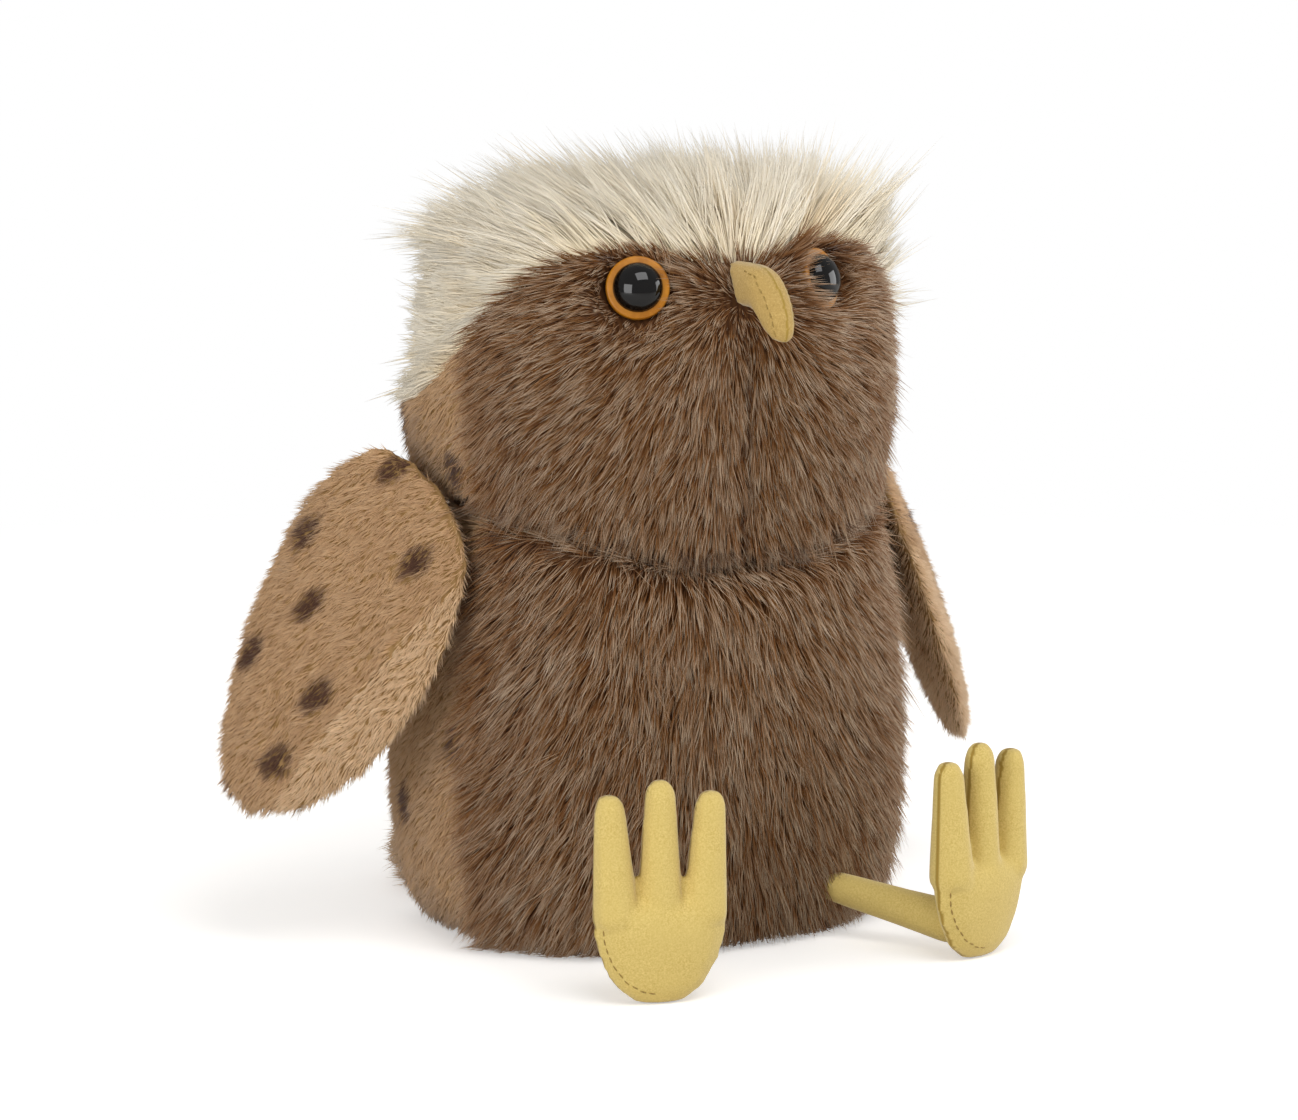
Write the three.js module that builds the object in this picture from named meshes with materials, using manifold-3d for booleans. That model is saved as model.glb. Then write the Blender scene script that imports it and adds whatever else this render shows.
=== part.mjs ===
// A seated plush owl, facing -Y with +Z up, in millimetres. The origin is the middle of its seat,
// on the surface that it sits on. Each fur panel is as thick as its backing and its brushed pile.
import * as THREE from "three";
import Module from "manifold-3d";

const wasm = await Module();
wasm.setup();

// Fabrics and sewing
const seamGap = 0.3; // between pieces that are sewn or laid together
const furThickness = 6; // panels of the body and the head
const backingThickness = 1.5; // the knitted backing under the pile
const plushThickness = 4; // panels of the wings and the tail
const suedeThickness = 1.2; // beak, legs and feet
const seatThickness = 2.5; // base panel
const edgeGap = 0.6; // along the neck and the crown's curved edge
const crownLoft = 8; // how far the crown's long pile stands above the other fur
const seamOverrun = 20; // how far a cutting block passes what it cuts

// Body
const bodyHalfWidth = 76;
const bodyFrontDepth = 61;
const bodyBackDepth = 72;
const neckHeight = 113.5; // the neck crease at the front
const neckRise = 15; // how far the crease climbs to the sides
const pouchHalfWidth = 46;
const pouchHalfDepth = 40;
const pouchHeight = 20;

// Head
const headHalfWidth = 74;
const headFrontDepth = 61;
const headBackDepth = 62;
const headHeight = 102.5; // from the front of the neck crease to the top under the crown's pile
const faceCrease = 4; // how far the seam between the cheeks is drawn in
const eyeHollow = 7.5; // how far each eye draws the cheek in

// Eyes
const irisRadius = 9;
const irisThickness = 2.4;
const pupilRadius = 6.5;
const pupilHeight = 4.6;
const shankRadius = 2.3;
const shankLength = 8.5;
const washerRadius = 7;
const washerThickness = 1.2;
const washerSetback = 3.9; // behind the back of the iris

// Beak
const beakHeight = 22.8;
const beakReach = 28;
const beakHalfThickness = 5.7;

// Wings
const wingLength = 114;
const wingWidth = 81;
const wingSeam = 41; // the sewn edge at the shoulder
const wingNose = 3; // from that edge to the line that the wing turns about
const wingOuterLoft = 7.5;
const wingInnerLoft = 7;

// Legs and feet
const hipHeight = 14; // where the leg touches the body
const ankleHeight = 10; // where it touches the foot
const legRadius = 7.5;
const footSpacing = 106;
const footReach = 94; // in front of the seat's middle
const footHalfWidth = 19;
const footHalfDepth = 7;
const palmHeight = 27.5;
const toeRadius = 4; // at the tip
const toeRootRadius = 6.4;
const toeSpacing = 14.1; // at the tips
const toeRootSpacing = 12.3;
const toeBase = 23;
const middleToeHeight = 62;
const outerToeHeight = 58.5;

// Tail
const tailHalfWidth = 45;
const tailReach = 98;
const tailDepth = 42;
const tailHeight = 19;
const tailClearance = 1.5; // above the surface that the owl sits on

const degrees = THREE.MathUtils.degToRad;
const lerp = THREE.MathUtils.lerp;
const FRONT = degrees(-90);

// Seams and placings round the body and the head, as angles from the front
const sideSeamAngle = degrees(75);
const eyeAngle = degrees(33.2);
const eyeTurn = degrees(28);
const eyeLift = degrees(14);
const hipShare = 3 / 7; // of the angle to the side seam, on a column of the front panel
const hipAngle = sideSeamAngle * hipShare;
const footSplay = degrees(17);
const wingSeamAngle = degrees(89);
const wingSeamLean = degrees(34); // the sewn line climbs this much towards the back
const wingSpread = degrees(24); // how far the wing stands out from hanging straight down

// Shares of a form's plan and height, from its bottom pole to its top pole
const bodyProfileShares = [
  [0, -0.16], [0.5, -0.13], [0.78, -0.06], [0.91, 0.03], [0.975, 0.16], [1, 0.34],
  [0.995, 0.55], [0.965, 0.76], [0.92, 0.91], [0.86, 1], [0.7, 1.02], [0.4, 1.035], [0, 1.04],
];
const headProfileShares = [
  [0, -0.12], [0.4, -0.11], [0.7, -0.06], [0.88, 0], [0.96, 0.1], [0.995, 0.26], [1, 0.45],
  [0.985, 0.62], [0.94, 0.77], [0.86, 0.89], [0.68, 0.965], [0.36, 0.995], [0, 1],
];
const cushionProfileShares = [
  [0, 0], [0.5, 0], [0.85, 0.06], [1, 0.42], [0.93, 0.78], [0.55, 0.98], [0, 1],
];
const palmProfileShares = [
  [0, 0], [0.33, 0.02], [0.6, 0.13], [0.8, 0.32], [0.95, 0.6], [1, 0.8], [0.86, 0.95],
  [0.45, 1.02], [0, 1.04],
];
const neckReachShare = 0.8; // of the plan, where the crease has its full rise
const bodyRoundness = 2.5;
const headRoundness = 2.4;
const roundPlan = 2;
const domeFullness = 0.8;

// The crown's lower edge: share of the half turn from the front, and share of the head's height
const browShares = [
  [0, 0.824], [0.1, 0.84], [0.21, 0.888], [0.305, 0.844], [0.367, 0.756], [0.433, 0.616],
  [0.5, 0.5], [0.56, 0.43], [0.78, 0.42], [1, 0.44],
];
const eyeHeightShare = 0.752;
const beakTipShare = 0.603; // of the head's height
const creaseWidthShare = 0.055; // of half a turn
const hollowWidthShare = 0.088;
const hollowHeightShare = 0.15; // of the head's height
const hemShare = -0.03; // the body panels' lower edges, before they are trimmed at the surface

// The wing's outline: share of its length from the sewn edge, and share of its width along it
const wingOutlineShares = [
  [0.1, 0.34], [0.22, 0.39], [0.45, 0.34], [0.67, 0.23], [0.86, 0.07], [0.96, -0.06], [1, -0.2],
  [0.97, -0.32], [0.87, -0.47], [0.7, -0.58], [0.48, -0.61], [0.25, -0.52], [0.08, -0.38],
];
const wingCentreShares = [0.47, -0.1];
const wingSeamShare = 0.1; // of the head's height, where the middle of the sewn line touches it

// The beak's side view: share of its reach from its base, and share of its height
const beakOutlineShares = [
  [0, 0.95], [0.3, 1], [0.6, 0.93], [0.82, 0.68], [0.96, 0.36], [0.98, 0.08], [0.86, 0],
  [0.74, 0.14], [0.6, 0.32], [0.35, 0.42], [0, 0.45],
];
const beakCentreShares = [0.5, 0.62];

// Surface steps
const faceColumns = 7;
const sideColumns = 8;
const bodyRows = 6;
const headRows = 6;
const crownRows = 5;
const capRows = 2;
const formColumns = 18;
const formRows = 7;
const lensColumns = 22;
const lensRows = 4;
const limbSides = 12;
const toeSides = 8;
const tipSteps = 2;
const domeSteps = 5;
const arcSteps = 3;
const eyeSides = 20;

// Even steps from one value to another, ends included
function fan(from, to, steps) {
  return Array.from({ length: steps + 1 }, (_, i) => lerp(from, to, i / steps));
}

// Steps through several stops, each given as its value and the steps that lead to it
function ladder(start, ...stops) {
  const rungs = [start];
  for (const [stop, steps] of stops) rungs.push(...fan(rungs.at(-1), stop, steps).slice(1));
  return rungs;
}

// The last value that passes a test which holds from the low value up to there
function lastPassing(low, high, passes) {
  const halvings = 40;
  for (let i = 0; i < halvings; i++) {
    const middle = (low + high) / 2;
    if (passes(middle)) low = middle;
    else high = middle;
  }
  return low;
}

const evenAngles = fan(0, 2 * Math.PI, formColumns).slice(1);
const evenLevels = fan(0, 1, formRows);

// A closed mesh from indexed corners; collapsed faces go, and the faces are turned to point out.
function closedGeometry(points, faces) {
  const ids = new Map();
  const corners = [];
  const idOf = points.map((p) => {
    const key = p.toArray().map((v) => Math.round(v * 1e4) + 0).join();
    if (!ids.has(key)) {
      ids.set(key, corners.length);
      corners.push(p);
    }
    return ids.get(key);
  });
  const kept = faces
    .map((face) => face.map((i) => idOf[i]))
    .filter(([a, b, c]) => a !== b && b !== c && c !== a);
  const normal = new THREE.Vector3();
  const volume = kept.reduce(
    (sum, [a, b, c]) => sum + normal.crossVectors(corners[a], corners[b]).dot(corners[c]),
    0,
  );
  const index = kept.flatMap(([a, b, c]) => (volume < 0 ? [a, c, b] : [a, b, c]));
  return new THREE.BufferGeometry()
    .setAttribute("position", new THREE.Float32BufferAttribute(corners.flatMap((p) => p.toArray()), 3))
    .setIndex(index);
}

// Two faces that fill four corners; they meet from the first to the third, or else across that.
function quad([a, b, c, d], across = false) {
  return across ? [[a, b, d], [b, c, d]] : [[a, b, c], [a, c, d]];
}

// A slab between two surfaces, each a function of a column and a row. A ring closes on itself.
// Neighbours split their faces alike, and a whole panel's left half mirrors its right half.
function slab(outer, inner, columns, rows, { ring = false, whole = ring } = {}) {
  const points = [];
  const faces = [];
  const width = ring ? columns : columns + 1;
  for (const surface of [outer, inner])
    for (let j = 0; j <= rows; j++) for (let i = 0; i < width; i++) points.push(surface(i, j));
  const id = (side, i, j) => side * width * (rows + 1) + j * width + (i % width);
  for (let i = 0; i < columns; i++) {
    const across = whole && i >= columns / 2;
    for (let j = 0; j < rows; j++) {
      const [low, high] = [j, j + 1];
      faces.push(
        ...quad([id(0, i, low), id(0, i + 1, low), id(0, i + 1, high), id(0, i, high)], across),
        ...quad([id(1, i, low), id(1, i, high), id(1, i + 1, high), id(1, i + 1, low)], across),
      );
    }
    faces.push(
      ...quad([id(0, i, 0), id(1, i, 0), id(1, i + 1, 0), id(0, i + 1, 0)], across),
      ...quad([id(0, i, rows), id(0, i + 1, rows), id(1, i + 1, rows), id(1, i, rows)], across),
    );
  }
  if (!ring)
    for (let j = 0; j < rows; j++) {
      const last = columns;
      faces.push(
        ...quad([id(0, 0, j), id(0, 0, j + 1), id(1, 0, j + 1), id(1, 0, j)]),
        ...quad([id(0, last, j), id(1, last, j), id(1, last, j + 1), id(0, last, j + 1)]),
      );
    }
  return closedGeometry(points, faces);
}

// A closed ball-like surface whose first and last rows are poles
function ball(surface, columns, rows) {
  const points = [];
  const faces = [];
  for (let j = 0; j <= rows; j++) for (let i = 0; i < columns; i++) points.push(surface(i, j));
  const id = (i, j) => j * columns + (i % columns);
  for (let i = 0; i < columns; i++)
    for (let j = 0; j < rows; j++) {
      const corners = [id(i, j), id(i + 1, j), id(i + 1, j + 1), id(i, j + 1)];
      faces.push(...quad(corners, i >= columns / 2));
    }
  return closedGeometry(points, faces);
}

// A geometry's corners merged and its faces turned to point out
function cleaned(geometry) {
  const { position } = geometry.attributes;
  const points = Array.from({ length: position.count }, (_, i) =>
    new THREE.Vector3().fromBufferAttribute(position, i),
  );
  const faces = Array.from({ length: geometry.index.count / 3 }, (_, i) =>
    [0, 1, 2].map((k) => geometry.index.getX(3 * i + k)),
  );
  return closedGeometry(points, faces);
}

// A solid for cutting and joining
function solidOf(geometry) {
  const closed = cleaned(geometry);
  return new wasm.Manifold(
    new wasm.Mesh({
      numProp: 3,
      vertProperties: closed.attributes.position.array,
      triVerts: new Uint32Array(closed.index.array),
    }),
  );
}

function geometryOf(solid) {
  const mesh = solid.getMesh();
  return new THREE.BufferGeometry()
    .setAttribute("position", new THREE.BufferAttribute(mesh.vertProperties, 3))
    .setIndex(new THREE.BufferAttribute(mesh.triVerts, 1));
}

// A box solid from its lowest to its highest corner
function block(low, high) {
  const size = high.clone().sub(low);
  const box = new THREE.BoxGeometry(...size.toArray());
  return solidOf(box.translate(...low.clone().add(high).multiplyScalar(0.5).toArray()));
}

// A turned solid about +Z from points of radius and height
function turned(profile, sides) {
  const points = profile.map(([radius, height]) => new THREE.Vector2(radius, height));
  return cleaned(new THREE.LatheGeometry(points, sides).rotateX(degrees(90)));
}

// A quarter round from its rim to the axis, as points of radius and height
function quarterRound(radius, rimHeight, rise, steps) {
  return fan(0, degrees(90), steps).map((turn, i) => [
    i === steps ? 0 : radius * Math.cos(turn),
    rimHeight + rise * Math.sin(turn),
  ]);
}

// A rod about +Z between two heights
function rod(radius, low, high, facets = limbSides) {
  return turned([[0, low], [radius, low], [radius, high], [0, high]], facets);
}

function placed(geometry, matrix) {
  return geometry.clone().applyMatrix4(matrix);
}

// A value read off a table of [place, value] rows
function lookUp(table, place) {
  const next = Math.max(1, table.findIndex(([at]) => at >= place));
  const [[fromAt, fromValue], [toAt, toValue]] = [table[next - 1], table[next]];
  return lerp(fromValue, toValue, (place - fromAt) / (toAt - fromAt));
}

// A stuffed form: a rounded plan that swells and tapers by its profile, between two heights,
// which may change with the angle and with the share of the plan that is reached.
class Form {
  constructor({ halfWidth, frontDepth, backDepth, roundness, bottom, top, profileShares, dent, centre }) {
    Object.assign(this, { halfWidth, frontDepth, backDepth, roundness, bottom, top });
    this.profile = new THREE.SplineCurve(profileShares.map(([x, y]) => new THREE.Vector2(x, y)));
    this.dent = dent ?? (() => 0);
    this.centre = centre ?? new THREE.Vector3();
  }

  point(angle, level) {
    const { x: reachShare, y: heightShare } = this.profile.getPoint(level);
    const depth = Math.sin(angle) < 0 ? this.frontDepth : this.backDepth;
    const power = this.roundness;
    const plan =
      (Math.abs(Math.cos(angle) / this.halfWidth) ** power +
        Math.abs(Math.sin(angle) / depth) ** power) ** (-1 / power);
    const reach = Math.max(0, reachShare) * (plan - this.dent(angle, heightShare));
    const low = this.bottom(angle, reachShare);
    return new THREE.Vector3(
      Math.cos(angle) * reach,
      Math.sin(angle) * reach,
      low + heightShare * (this.top(angle, reachShare) - low),
    ).add(this.centre);
  }

  // The slopes of the surface along its angle and its level
  slopes(angle, level) {
    const stepShare = 1e-4;
    const low = Math.max(0, level - stepShare);
    const high = Math.min(1, level + stepShare);
    const [before, after] = [angle - stepShare, angle + stepShare];
    return [
      this.point(after, level).sub(this.point(before, level)).divideScalar(after - before),
      this.point(angle, high).sub(this.point(angle, low)).divideScalar(high - low),
    ];
  }

  // The surface, or a surface this deep inside it
  at(angle, level, depth = 0) {
    const poleShare = 0.01;
    const [round, up] = this.slopes(angle, level);
    const normal = round.cross(up).normalize();
    if (level < poleShare) normal.set(0, 0, -1);
    if (level > 1 - poleShare) normal.set(0, 0, 1);
    return this.point(angle, level).addScaledVector(normal, -depth);
  }

  // The level at which the profile comes to this share of the height
  levelOf(heightShare) {
    return lastPassing(0, 1, (level) => this.profile.getPoint(level).y < heightShare);
  }

  // How far the surface stands out from the middle
  reach(angle, level) {
    const { x, y } = this.point(angle, level);
    return Math.hypot(x, y);
  }

  // The closed form, this deep inside its surface, with its rings at these levels
  solid(depth, angles = evenAngles, levels = () => evenLevels) {
    const surface = (i, j) => this.at(angles[i], levels(angles[i])[j], depth);
    return solidOf(ball(surface, angles.length, levels(angles[0]).length - 1));
  }

  // A panel cut from the form's skin over these angles, from one level to another
  panel({ angles, levels, rows, thickness, gap = seamGap, loft = () => 0, ring, whole }) {
    const last = angles.length - 1;
    const half = gap / 2;
    const place = (i, j) => {
      let angle = angles[i];
      const middle = lerp(...levels(angle), j / rows);
      if (!ring && (i === 0 || i === last)) {
        const shift = half / this.slopes(angle, middle)[0].length();
        angle += i === 0 ? shift : -shift;
      }
      const [low, high] = levels(angle);
      const gapShare = (level) => half / this.slopes(angle, level)[1].length();
      const from = low > 0 ? low + gapShare(low) : low;
      const to = high < 1 ? high - gapShare(high) : high;
      return [angle, lerp(from, to, j / rows)];
    };
    const outer = (i, j) => this.at(...place(i, j), -loft(j / rows));
    const inner = (i, j) => this.at(...place(i, j), thickness);
    return slab(outer, inner, ring ? angles.length : last, rows, { ring, whole });
  }
}

// The height of the neck crease, which is level across the middle of the neck
const neckAt = (angle, reachShare = 1) =>
  neckHeight + neckRise * (Math.cos(angle) * Math.min(1, reachShare / neckReachShare)) ** 2;

const body = new Form({
  halfWidth: bodyHalfWidth,
  frontDepth: bodyFrontDepth,
  backDepth: bodyBackDepth,
  roundness: bodyRoundness,
  bottom: () => 0,
  top: neckAt,
  profileShares: bodyProfileShares,
});

const head = new Form({
  halfWidth: headHalfWidth,
  frontDepth: headFrontDepth,
  backDepth: headBackDepth,
  roundness: headRoundness,
  bottom: neckAt,
  top: () => neckHeight + headHeight,
  profileShares: headProfileShares,
  dent: (angle, heightShare) => {
    const turn = THREE.MathUtils.euclideanModulo(angle - FRONT + Math.PI, 2 * Math.PI) - Math.PI;
    const fromEye = (Math.abs(turn) - eyeAngle) / (hollowWidthShare * Math.PI);
    const overEye = (heightShare - eyeHeightShare) / hollowHeightShare;
    const crease = faceCrease * Math.exp(-((turn / (creaseWidthShare * Math.PI)) ** 2));
    return crease + eyeHollow * Math.exp(-(fromEye ** 2) - overEye ** 2);
  },
});

// The head's level at this height above the seat
function headLevelAt(angle, height) {
  const low = head.bottom(angle);
  return head.levelOf((height - low) / (head.top(angle) - low));
}

const fur = { front: "#7d6652", tan: "#a9855f", crown: "#ede6d8", light: "#bd9a76" };
const suede = "#cbb067";
const wadding = "#e9e6df";

const owl = new THREE.Group();

function mesh(name, geometry, colour, roughness = 0.95, parent = owl) {
  const material = new THREE.MeshStandardMaterial({ color: colour, roughness, metalness: 0 });
  const piece = new THREE.Mesh(geometry, material);
  piece.name = name;
  parent.add(piece);
  return piece;
}

// Right pieces are made on the -X side. Left ones are the same, mirrored.
const sides = ["right", "left"].map((side) => {
  const group = new THREE.Group();
  group.scale.x = side === "right" ? 1 : -1;
  owl.add(group);
  return { side, group };
});

function pair(name, geometry, colour, roughness) {
  for (const { side, group } of sides) mesh(`${name}_${side}`, geometry, colour, roughness, group);
}

// Blocks that keep what is above a height
const reachOut = bodyHalfWidth + bodyBackDepth;
const above = (height) =>
  block(
    new THREE.Vector3(-reachOut, -reachOut, height),
    new THREE.Vector3(reachOut, reachOut, neckHeight + neckRise + headHeight),
  );

// The columns of the panels, which all pieces of the body and the head share
const frontAngles = fan(FRONT - sideSeamAngle, FRONT + sideSeamAngle, 2 * faceColumns);
const rightSideAngles = fan(FRONT - Math.PI, FRONT - sideSeamAngle, sideColumns);
const rightFaceAngles = fan(FRONT - sideSeamAngle, FRONT, faceColumns);
const leftSideAngles = fan(FRONT + sideSeamAngle, FRONT + Math.PI, sideColumns);
const roundAngles = [...rightSideAngles.slice(0, -1), ...frontAngles, ...leftSideAngles.slice(1, -1)];

// Body panels stand on the surface with their lower edges, and end above at the head's panels.
const hemLevel = body.levelOf(hemShare);
const creaseLevel = head.levelOf(0);
const neckLevel = (angle) =>
  lastPassing(body.levelOf(1), 1, (level) => {
    const height = body.point(angle, level).z;
    return body.reach(angle, level) > head.reach(angle, headLevelAt(angle, height)) + edgeGap;
  });
const bodyLevels = (angle) => [hemLevel, neckLevel(angle)];
const bodyLadder = (angle) =>
  ladder(0, [hemLevel, capRows], [neckLevel(angle), bodyRows], [1, capRows]);
const bodySolid = (depth) => body.solid(depth, roundAngles, bodyLadder);
const standing = above(0);

function bodyPanel(angles, whole) {
  const shape = { levels: bodyLevels, rows: bodyRows, thickness: furThickness };
  return geometryOf(solidOf(body.panel({ angles, whole, ...shape })).intersect(standing));
}

mesh("body_front_panel", bodyPanel(frontAngles, true), fur.front);
pair("body_side_panel", bodyPanel(rightSideAngles), fur.tan);

const bodyInside = bodySolid(furThickness + seamGap);
const basePanel = bodyInside.intersect(standing).subtract(above(seatThickness));
mesh("base_panel", geometryOf(basePanel), fur.tan);

// The pouch of beans lies on the base panel, with the filling over it
const pouchBottom = seatThickness + seamGap;
const pouchForm = (growth) =>
  new Form({
    halfWidth: pouchHalfWidth + growth,
    frontDepth: pouchHalfDepth + growth,
    backDepth: pouchHalfDepth + growth,
    roundness: roundPlan,
    bottom: () => pouchBottom,
    top: () => pouchBottom + pouchHeight + growth,
    profileShares: cushionProfileShares,
  }).solid(0);
mesh("bean_pouch", geometryOf(pouchForm(0).intersect(above(pouchBottom))), wadding);
const bodyFilling = bodyInside.intersect(above(pouchBottom)).subtract(pouchForm(seamGap));
mesh("body_filling", geometryOf(bodyFilling), wadding);

// Eyes: each is pushed through the cheek and locked behind it by a washer
const eyeLevel = head.levelOf(eyeHeightShare);
const eyeSeat = head.at(FRONT - eyeAngle, eyeLevel, furThickness - backingThickness);
const eyeOut = new THREE.Vector3(-Math.sin(eyeTurn), -Math.cos(eyeTurn), 0)
  .multiplyScalar(Math.cos(eyeLift))
  .add(new THREE.Vector3(0, 0, Math.sin(eyeLift)));
const eyeFrame = new THREE.Matrix4().compose(
  eyeSeat,
  new THREE.Quaternion().setFromUnitVectors(new THREE.Vector3(0, 0, 1), eyeOut),
  new THREE.Vector3(1, 1, 1),
);
const eyeSolid = (geometry) => solidOf(placed(geometry, eyeFrame));

const irisRim = irisThickness / 3;
const shankBore = shankRadius + seamGap;
const irisProfile = [
  [shankBore, 0], [irisRadius - irisRim, 0], [irisRadius, irisRim],
  [irisRadius - irisRim, irisThickness], [shankBore, irisThickness], [shankBore, 0],
];
const pupilBack = irisThickness + seamGap;
const pupilProfile = [
  [0, pupilBack - shankLength], [shankRadius, pupilBack - shankLength],
  [shankRadius, pupilBack], ...quarterRound(pupilRadius, pupilBack, pupilHeight, domeSteps),
];
const [washerFront, washerBack] = [-washerSetback, -washerSetback - washerThickness];
const washerProfile = [
  [shankBore, washerFront], [washerRadius, washerFront], [washerRadius, washerBack],
  [shankBore, washerBack], [shankBore, washerFront],
];
const eyePieces = {
  eye_iris: [turned(irisProfile, eyeSides), "#b9720e", 0.45],
  eye_pupil: [turned(pupilProfile, eyeSides), "#0b0908", 0.08],
  eye_washer: [turned(washerProfile, eyeSides), "#e8e8e4", 0.4],
};
for (const [name, [geometry, colour, roughness]] of Object.entries(eyePieces))
  pair(name, placed(geometry, eyeFrame), colour, roughness);

const eyePocket = eyeSolid(rod(irisRadius + seamGap, -seamGap, seamOverrun, eyeSides));
const shankHole = eyeSolid(rod(shankBore, -seamOverrun, seamOverrun));
const washerPocket = eyeSolid(rod(washerRadius + seamGap, washerBack - seamGap, seamOverrun));

// Head panels
const browAt = (angle) => {
  const share = Math.abs(
    THREE.MathUtils.euclideanModulo(angle - FRONT + Math.PI, 2 * Math.PI) - Math.PI,
  ) / Math.PI;
  return headLevelAt(angle, neckHeight + headHeight * lookUp(browShares, share));
};
const headLevels = (angle) => [creaseLevel, browAt(angle)];
const facePanel = head.panel({
  angles: rightFaceAngles,
  levels: headLevels,
  rows: headRows,
  thickness: furThickness,
});
const face = solidOf(facePanel).subtract(eyePocket).subtract(shankHole);
pair("face_panel", geometryOf(face), fur.front);
const napePanel = head.panel({
  angles: rightSideAngles,
  levels: headLevels,
  rows: headRows,
  thickness: furThickness,
});
pair("head_side_panel", napePanel, fur.tan);

const crown = head.panel({
  angles: roundAngles,
  levels: (angle) => [browAt(angle), 1],
  rows: crownRows,
  thickness: furThickness,
  gap: edgeGap,
  loft: (share) => crownLoft * Math.sqrt(Math.sin(Math.min(1, 2 * share) * degrees(90))),
  ring: true,
});
mesh("crown_panel", crown, fur.crown);

const mirrored = (solid) => {
  const geometry = geometryOf(solid).scale(-1, 1, 1);
  return solidOf(geometry);
};
const headLadder = (angle) =>
  ladder(0, [creaseLevel, capRows], [browAt(angle), headRows], [1, crownRows]);
const headSolid = (depth) => head.solid(depth, roundAngles, headLadder);
let headFilling = headSolid(furThickness + seamGap).subtract(bodySolid(furThickness - seamGap));
for (const cut of [eyePocket, shankHole, washerPocket])
  headFilling = headFilling.subtract(cut).subtract(mirrored(cut));
mesh("head_filling", geometryOf(headFilling), wadding);

// One side of a flat stuffed shape: it domes up from the rim of an outline in the plane.
function dome({ outline, centre, inset, loft, low }) {
  return (i, j) => {
    const lean = (j / lensRows) * degrees(90);
    const out = outline[i % outline.length].clone().sub(centre);
    out.setLength((out.length() - inset) * Math.sin(lean));
    const height = low + loft * Math.max(0, Math.cos(lean)) ** domeFullness;
    return new THREE.Vector3(centre.x + out.x, centre.y + out.y, height);
  };
}

function lensPanel(outline, centre, loft, thickness) {
  const low = seamGap / 2;
  const outer = dome({ outline, centre, inset: 0, loft, low });
  const inner = dome({ outline, centre, inset: thickness, loft: loft - thickness, low });
  return slab(outer, inner, outline.length, lensRows, { ring: true });
}

function lensFilling(outline, centre, upperLoft, lowerLoft, inset) {
  const upper = dome({ outline, centre, inset, loft: upperLoft - inset, low: 0 });
  const lower = dome({ outline, centre, inset, loft: inset - lowerLoft, low: 0 });
  return slab(upper, lower, outline.length, lensRows, { ring: true });
}

function smoothOutline(points, count) {
  const curve = new THREE.CatmullRomCurve3(points, true, "centripetal");
  return curve.getSpacedPoints(count).slice(0, count);
}

// Beak: two suede sides that meet in the ridge, against the seam between the cheeks
const beakBase = head.at(FRONT, head.levelOf(eyeHeightShare)).y + furThickness;
const beakPoint = ([along, up]) => new THREE.Vector3(-along * beakReach, up * beakHeight, 0);
const beakOutline = smoothOutline(beakOutlineShares.map(beakPoint), lensColumns);
const beakCentre = beakPoint(beakCentreShares);
// Its plane is the owl's middle plane, and its outer side faces -X.
const beakFrame = new THREE.Matrix4()
  .makeBasis(new THREE.Vector3(0, 1, 0), new THREE.Vector3(0, 0, 1), new THREE.Vector3(-1, 0, 0))
  .setPosition(0, beakBase, neckHeight + headHeight * beakTipShare);
const headOutside = headSolid(-seamGap);
const beakSolid = (geometry) => solidOf(placed(geometry, beakFrame)).subtract(headOutside);
const beakSide = beakSolid(lensPanel(beakOutline, beakCentre, beakHalfThickness, suedeThickness));
pair("beak_side", geometryOf(beakSide), suede);
const beakInset = suedeThickness + seamGap;
const beakFilling = beakSolid(
  lensFilling(beakOutline, beakCentre, beakHalfThickness, beakHalfThickness, beakInset),
);
mesh("beak_filling", geometryOf(beakFilling), wadding);

// Wings: sewn on along a line that runs down and forward over the neck crease
const wingSeamLevel = head.levelOf(wingSeamShare);
const [wingSkin, wingSeat] = [0, -wingNose - seamGap].map((depth) =>
  head.at(FRONT - wingSeamAngle, wingSeamLevel, depth),
);
const wingAlong = new THREE.Vector3(0, Math.cos(wingSeamLean), Math.sin(wingSeamLean))
  .projectOnPlane(wingSeat.clone().sub(wingSkin).normalize())
  .normalize();
const wingDown = new THREE.Vector3(0, 0, -1).addScaledVector(wingAlong, wingAlong.z).normalize();
const wingOut = new THREE.Vector3().crossVectors(wingAlong, wingDown);
const wingSpan = wingDown
  .clone()
  .multiplyScalar(Math.cos(wingSpread))
  .addScaledVector(wingOut, Math.sin(wingSpread));
const wingFrame = new THREE.Matrix4()
  .makeBasis(wingSpan, wingAlong, new THREE.Vector3().crossVectors(wingSpan, wingAlong))
  .setPosition(wingSeat);
const wingPoint = ([along, across]) =>
  new THREE.Vector3(along * wingLength - wingNose, across * wingWidth, 0);
const wingOutline = smoothOutline(
  [
    new THREE.Vector3(0, -wingSeam / 2, 0),
    new THREE.Vector3(-wingNose, -wingSeam / 4, 0),
    new THREE.Vector3(-wingNose, wingSeam / 4, 0),
    new THREE.Vector3(0, wingSeam / 2, 0),
    ...wingOutlineShares.map(wingPoint),
  ],
  lensColumns,
);
const wingCentre = wingPoint(wingCentreShares);
const wingInset = plushThickness + seamGap;
const turnedOver = new THREE.Matrix4().makeScale(1, 1, -1);
const innerPanel = lensPanel(wingOutline, wingCentre, wingInnerLoft, plushThickness);
const outerPanel = lensPanel(wingOutline, wingCentre, wingOuterLoft, plushThickness);
const wingFilling = lensFilling(wingOutline, wingCentre, wingInnerLoft, wingOuterLoft, wingInset);
const asSolid = (geometry) => geometryOf(solidOf(geometry));
pair("wing_outer_panel", asSolid(placed(placed(outerPanel, turnedOver), wingFrame)), fur.tan);
pair("wing_inner_panel", asSolid(placed(innerPanel, wingFrame)), fur.light);
pair("wing_filling", asSolid(placed(wingFilling, wingFrame)), wadding);

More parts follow.
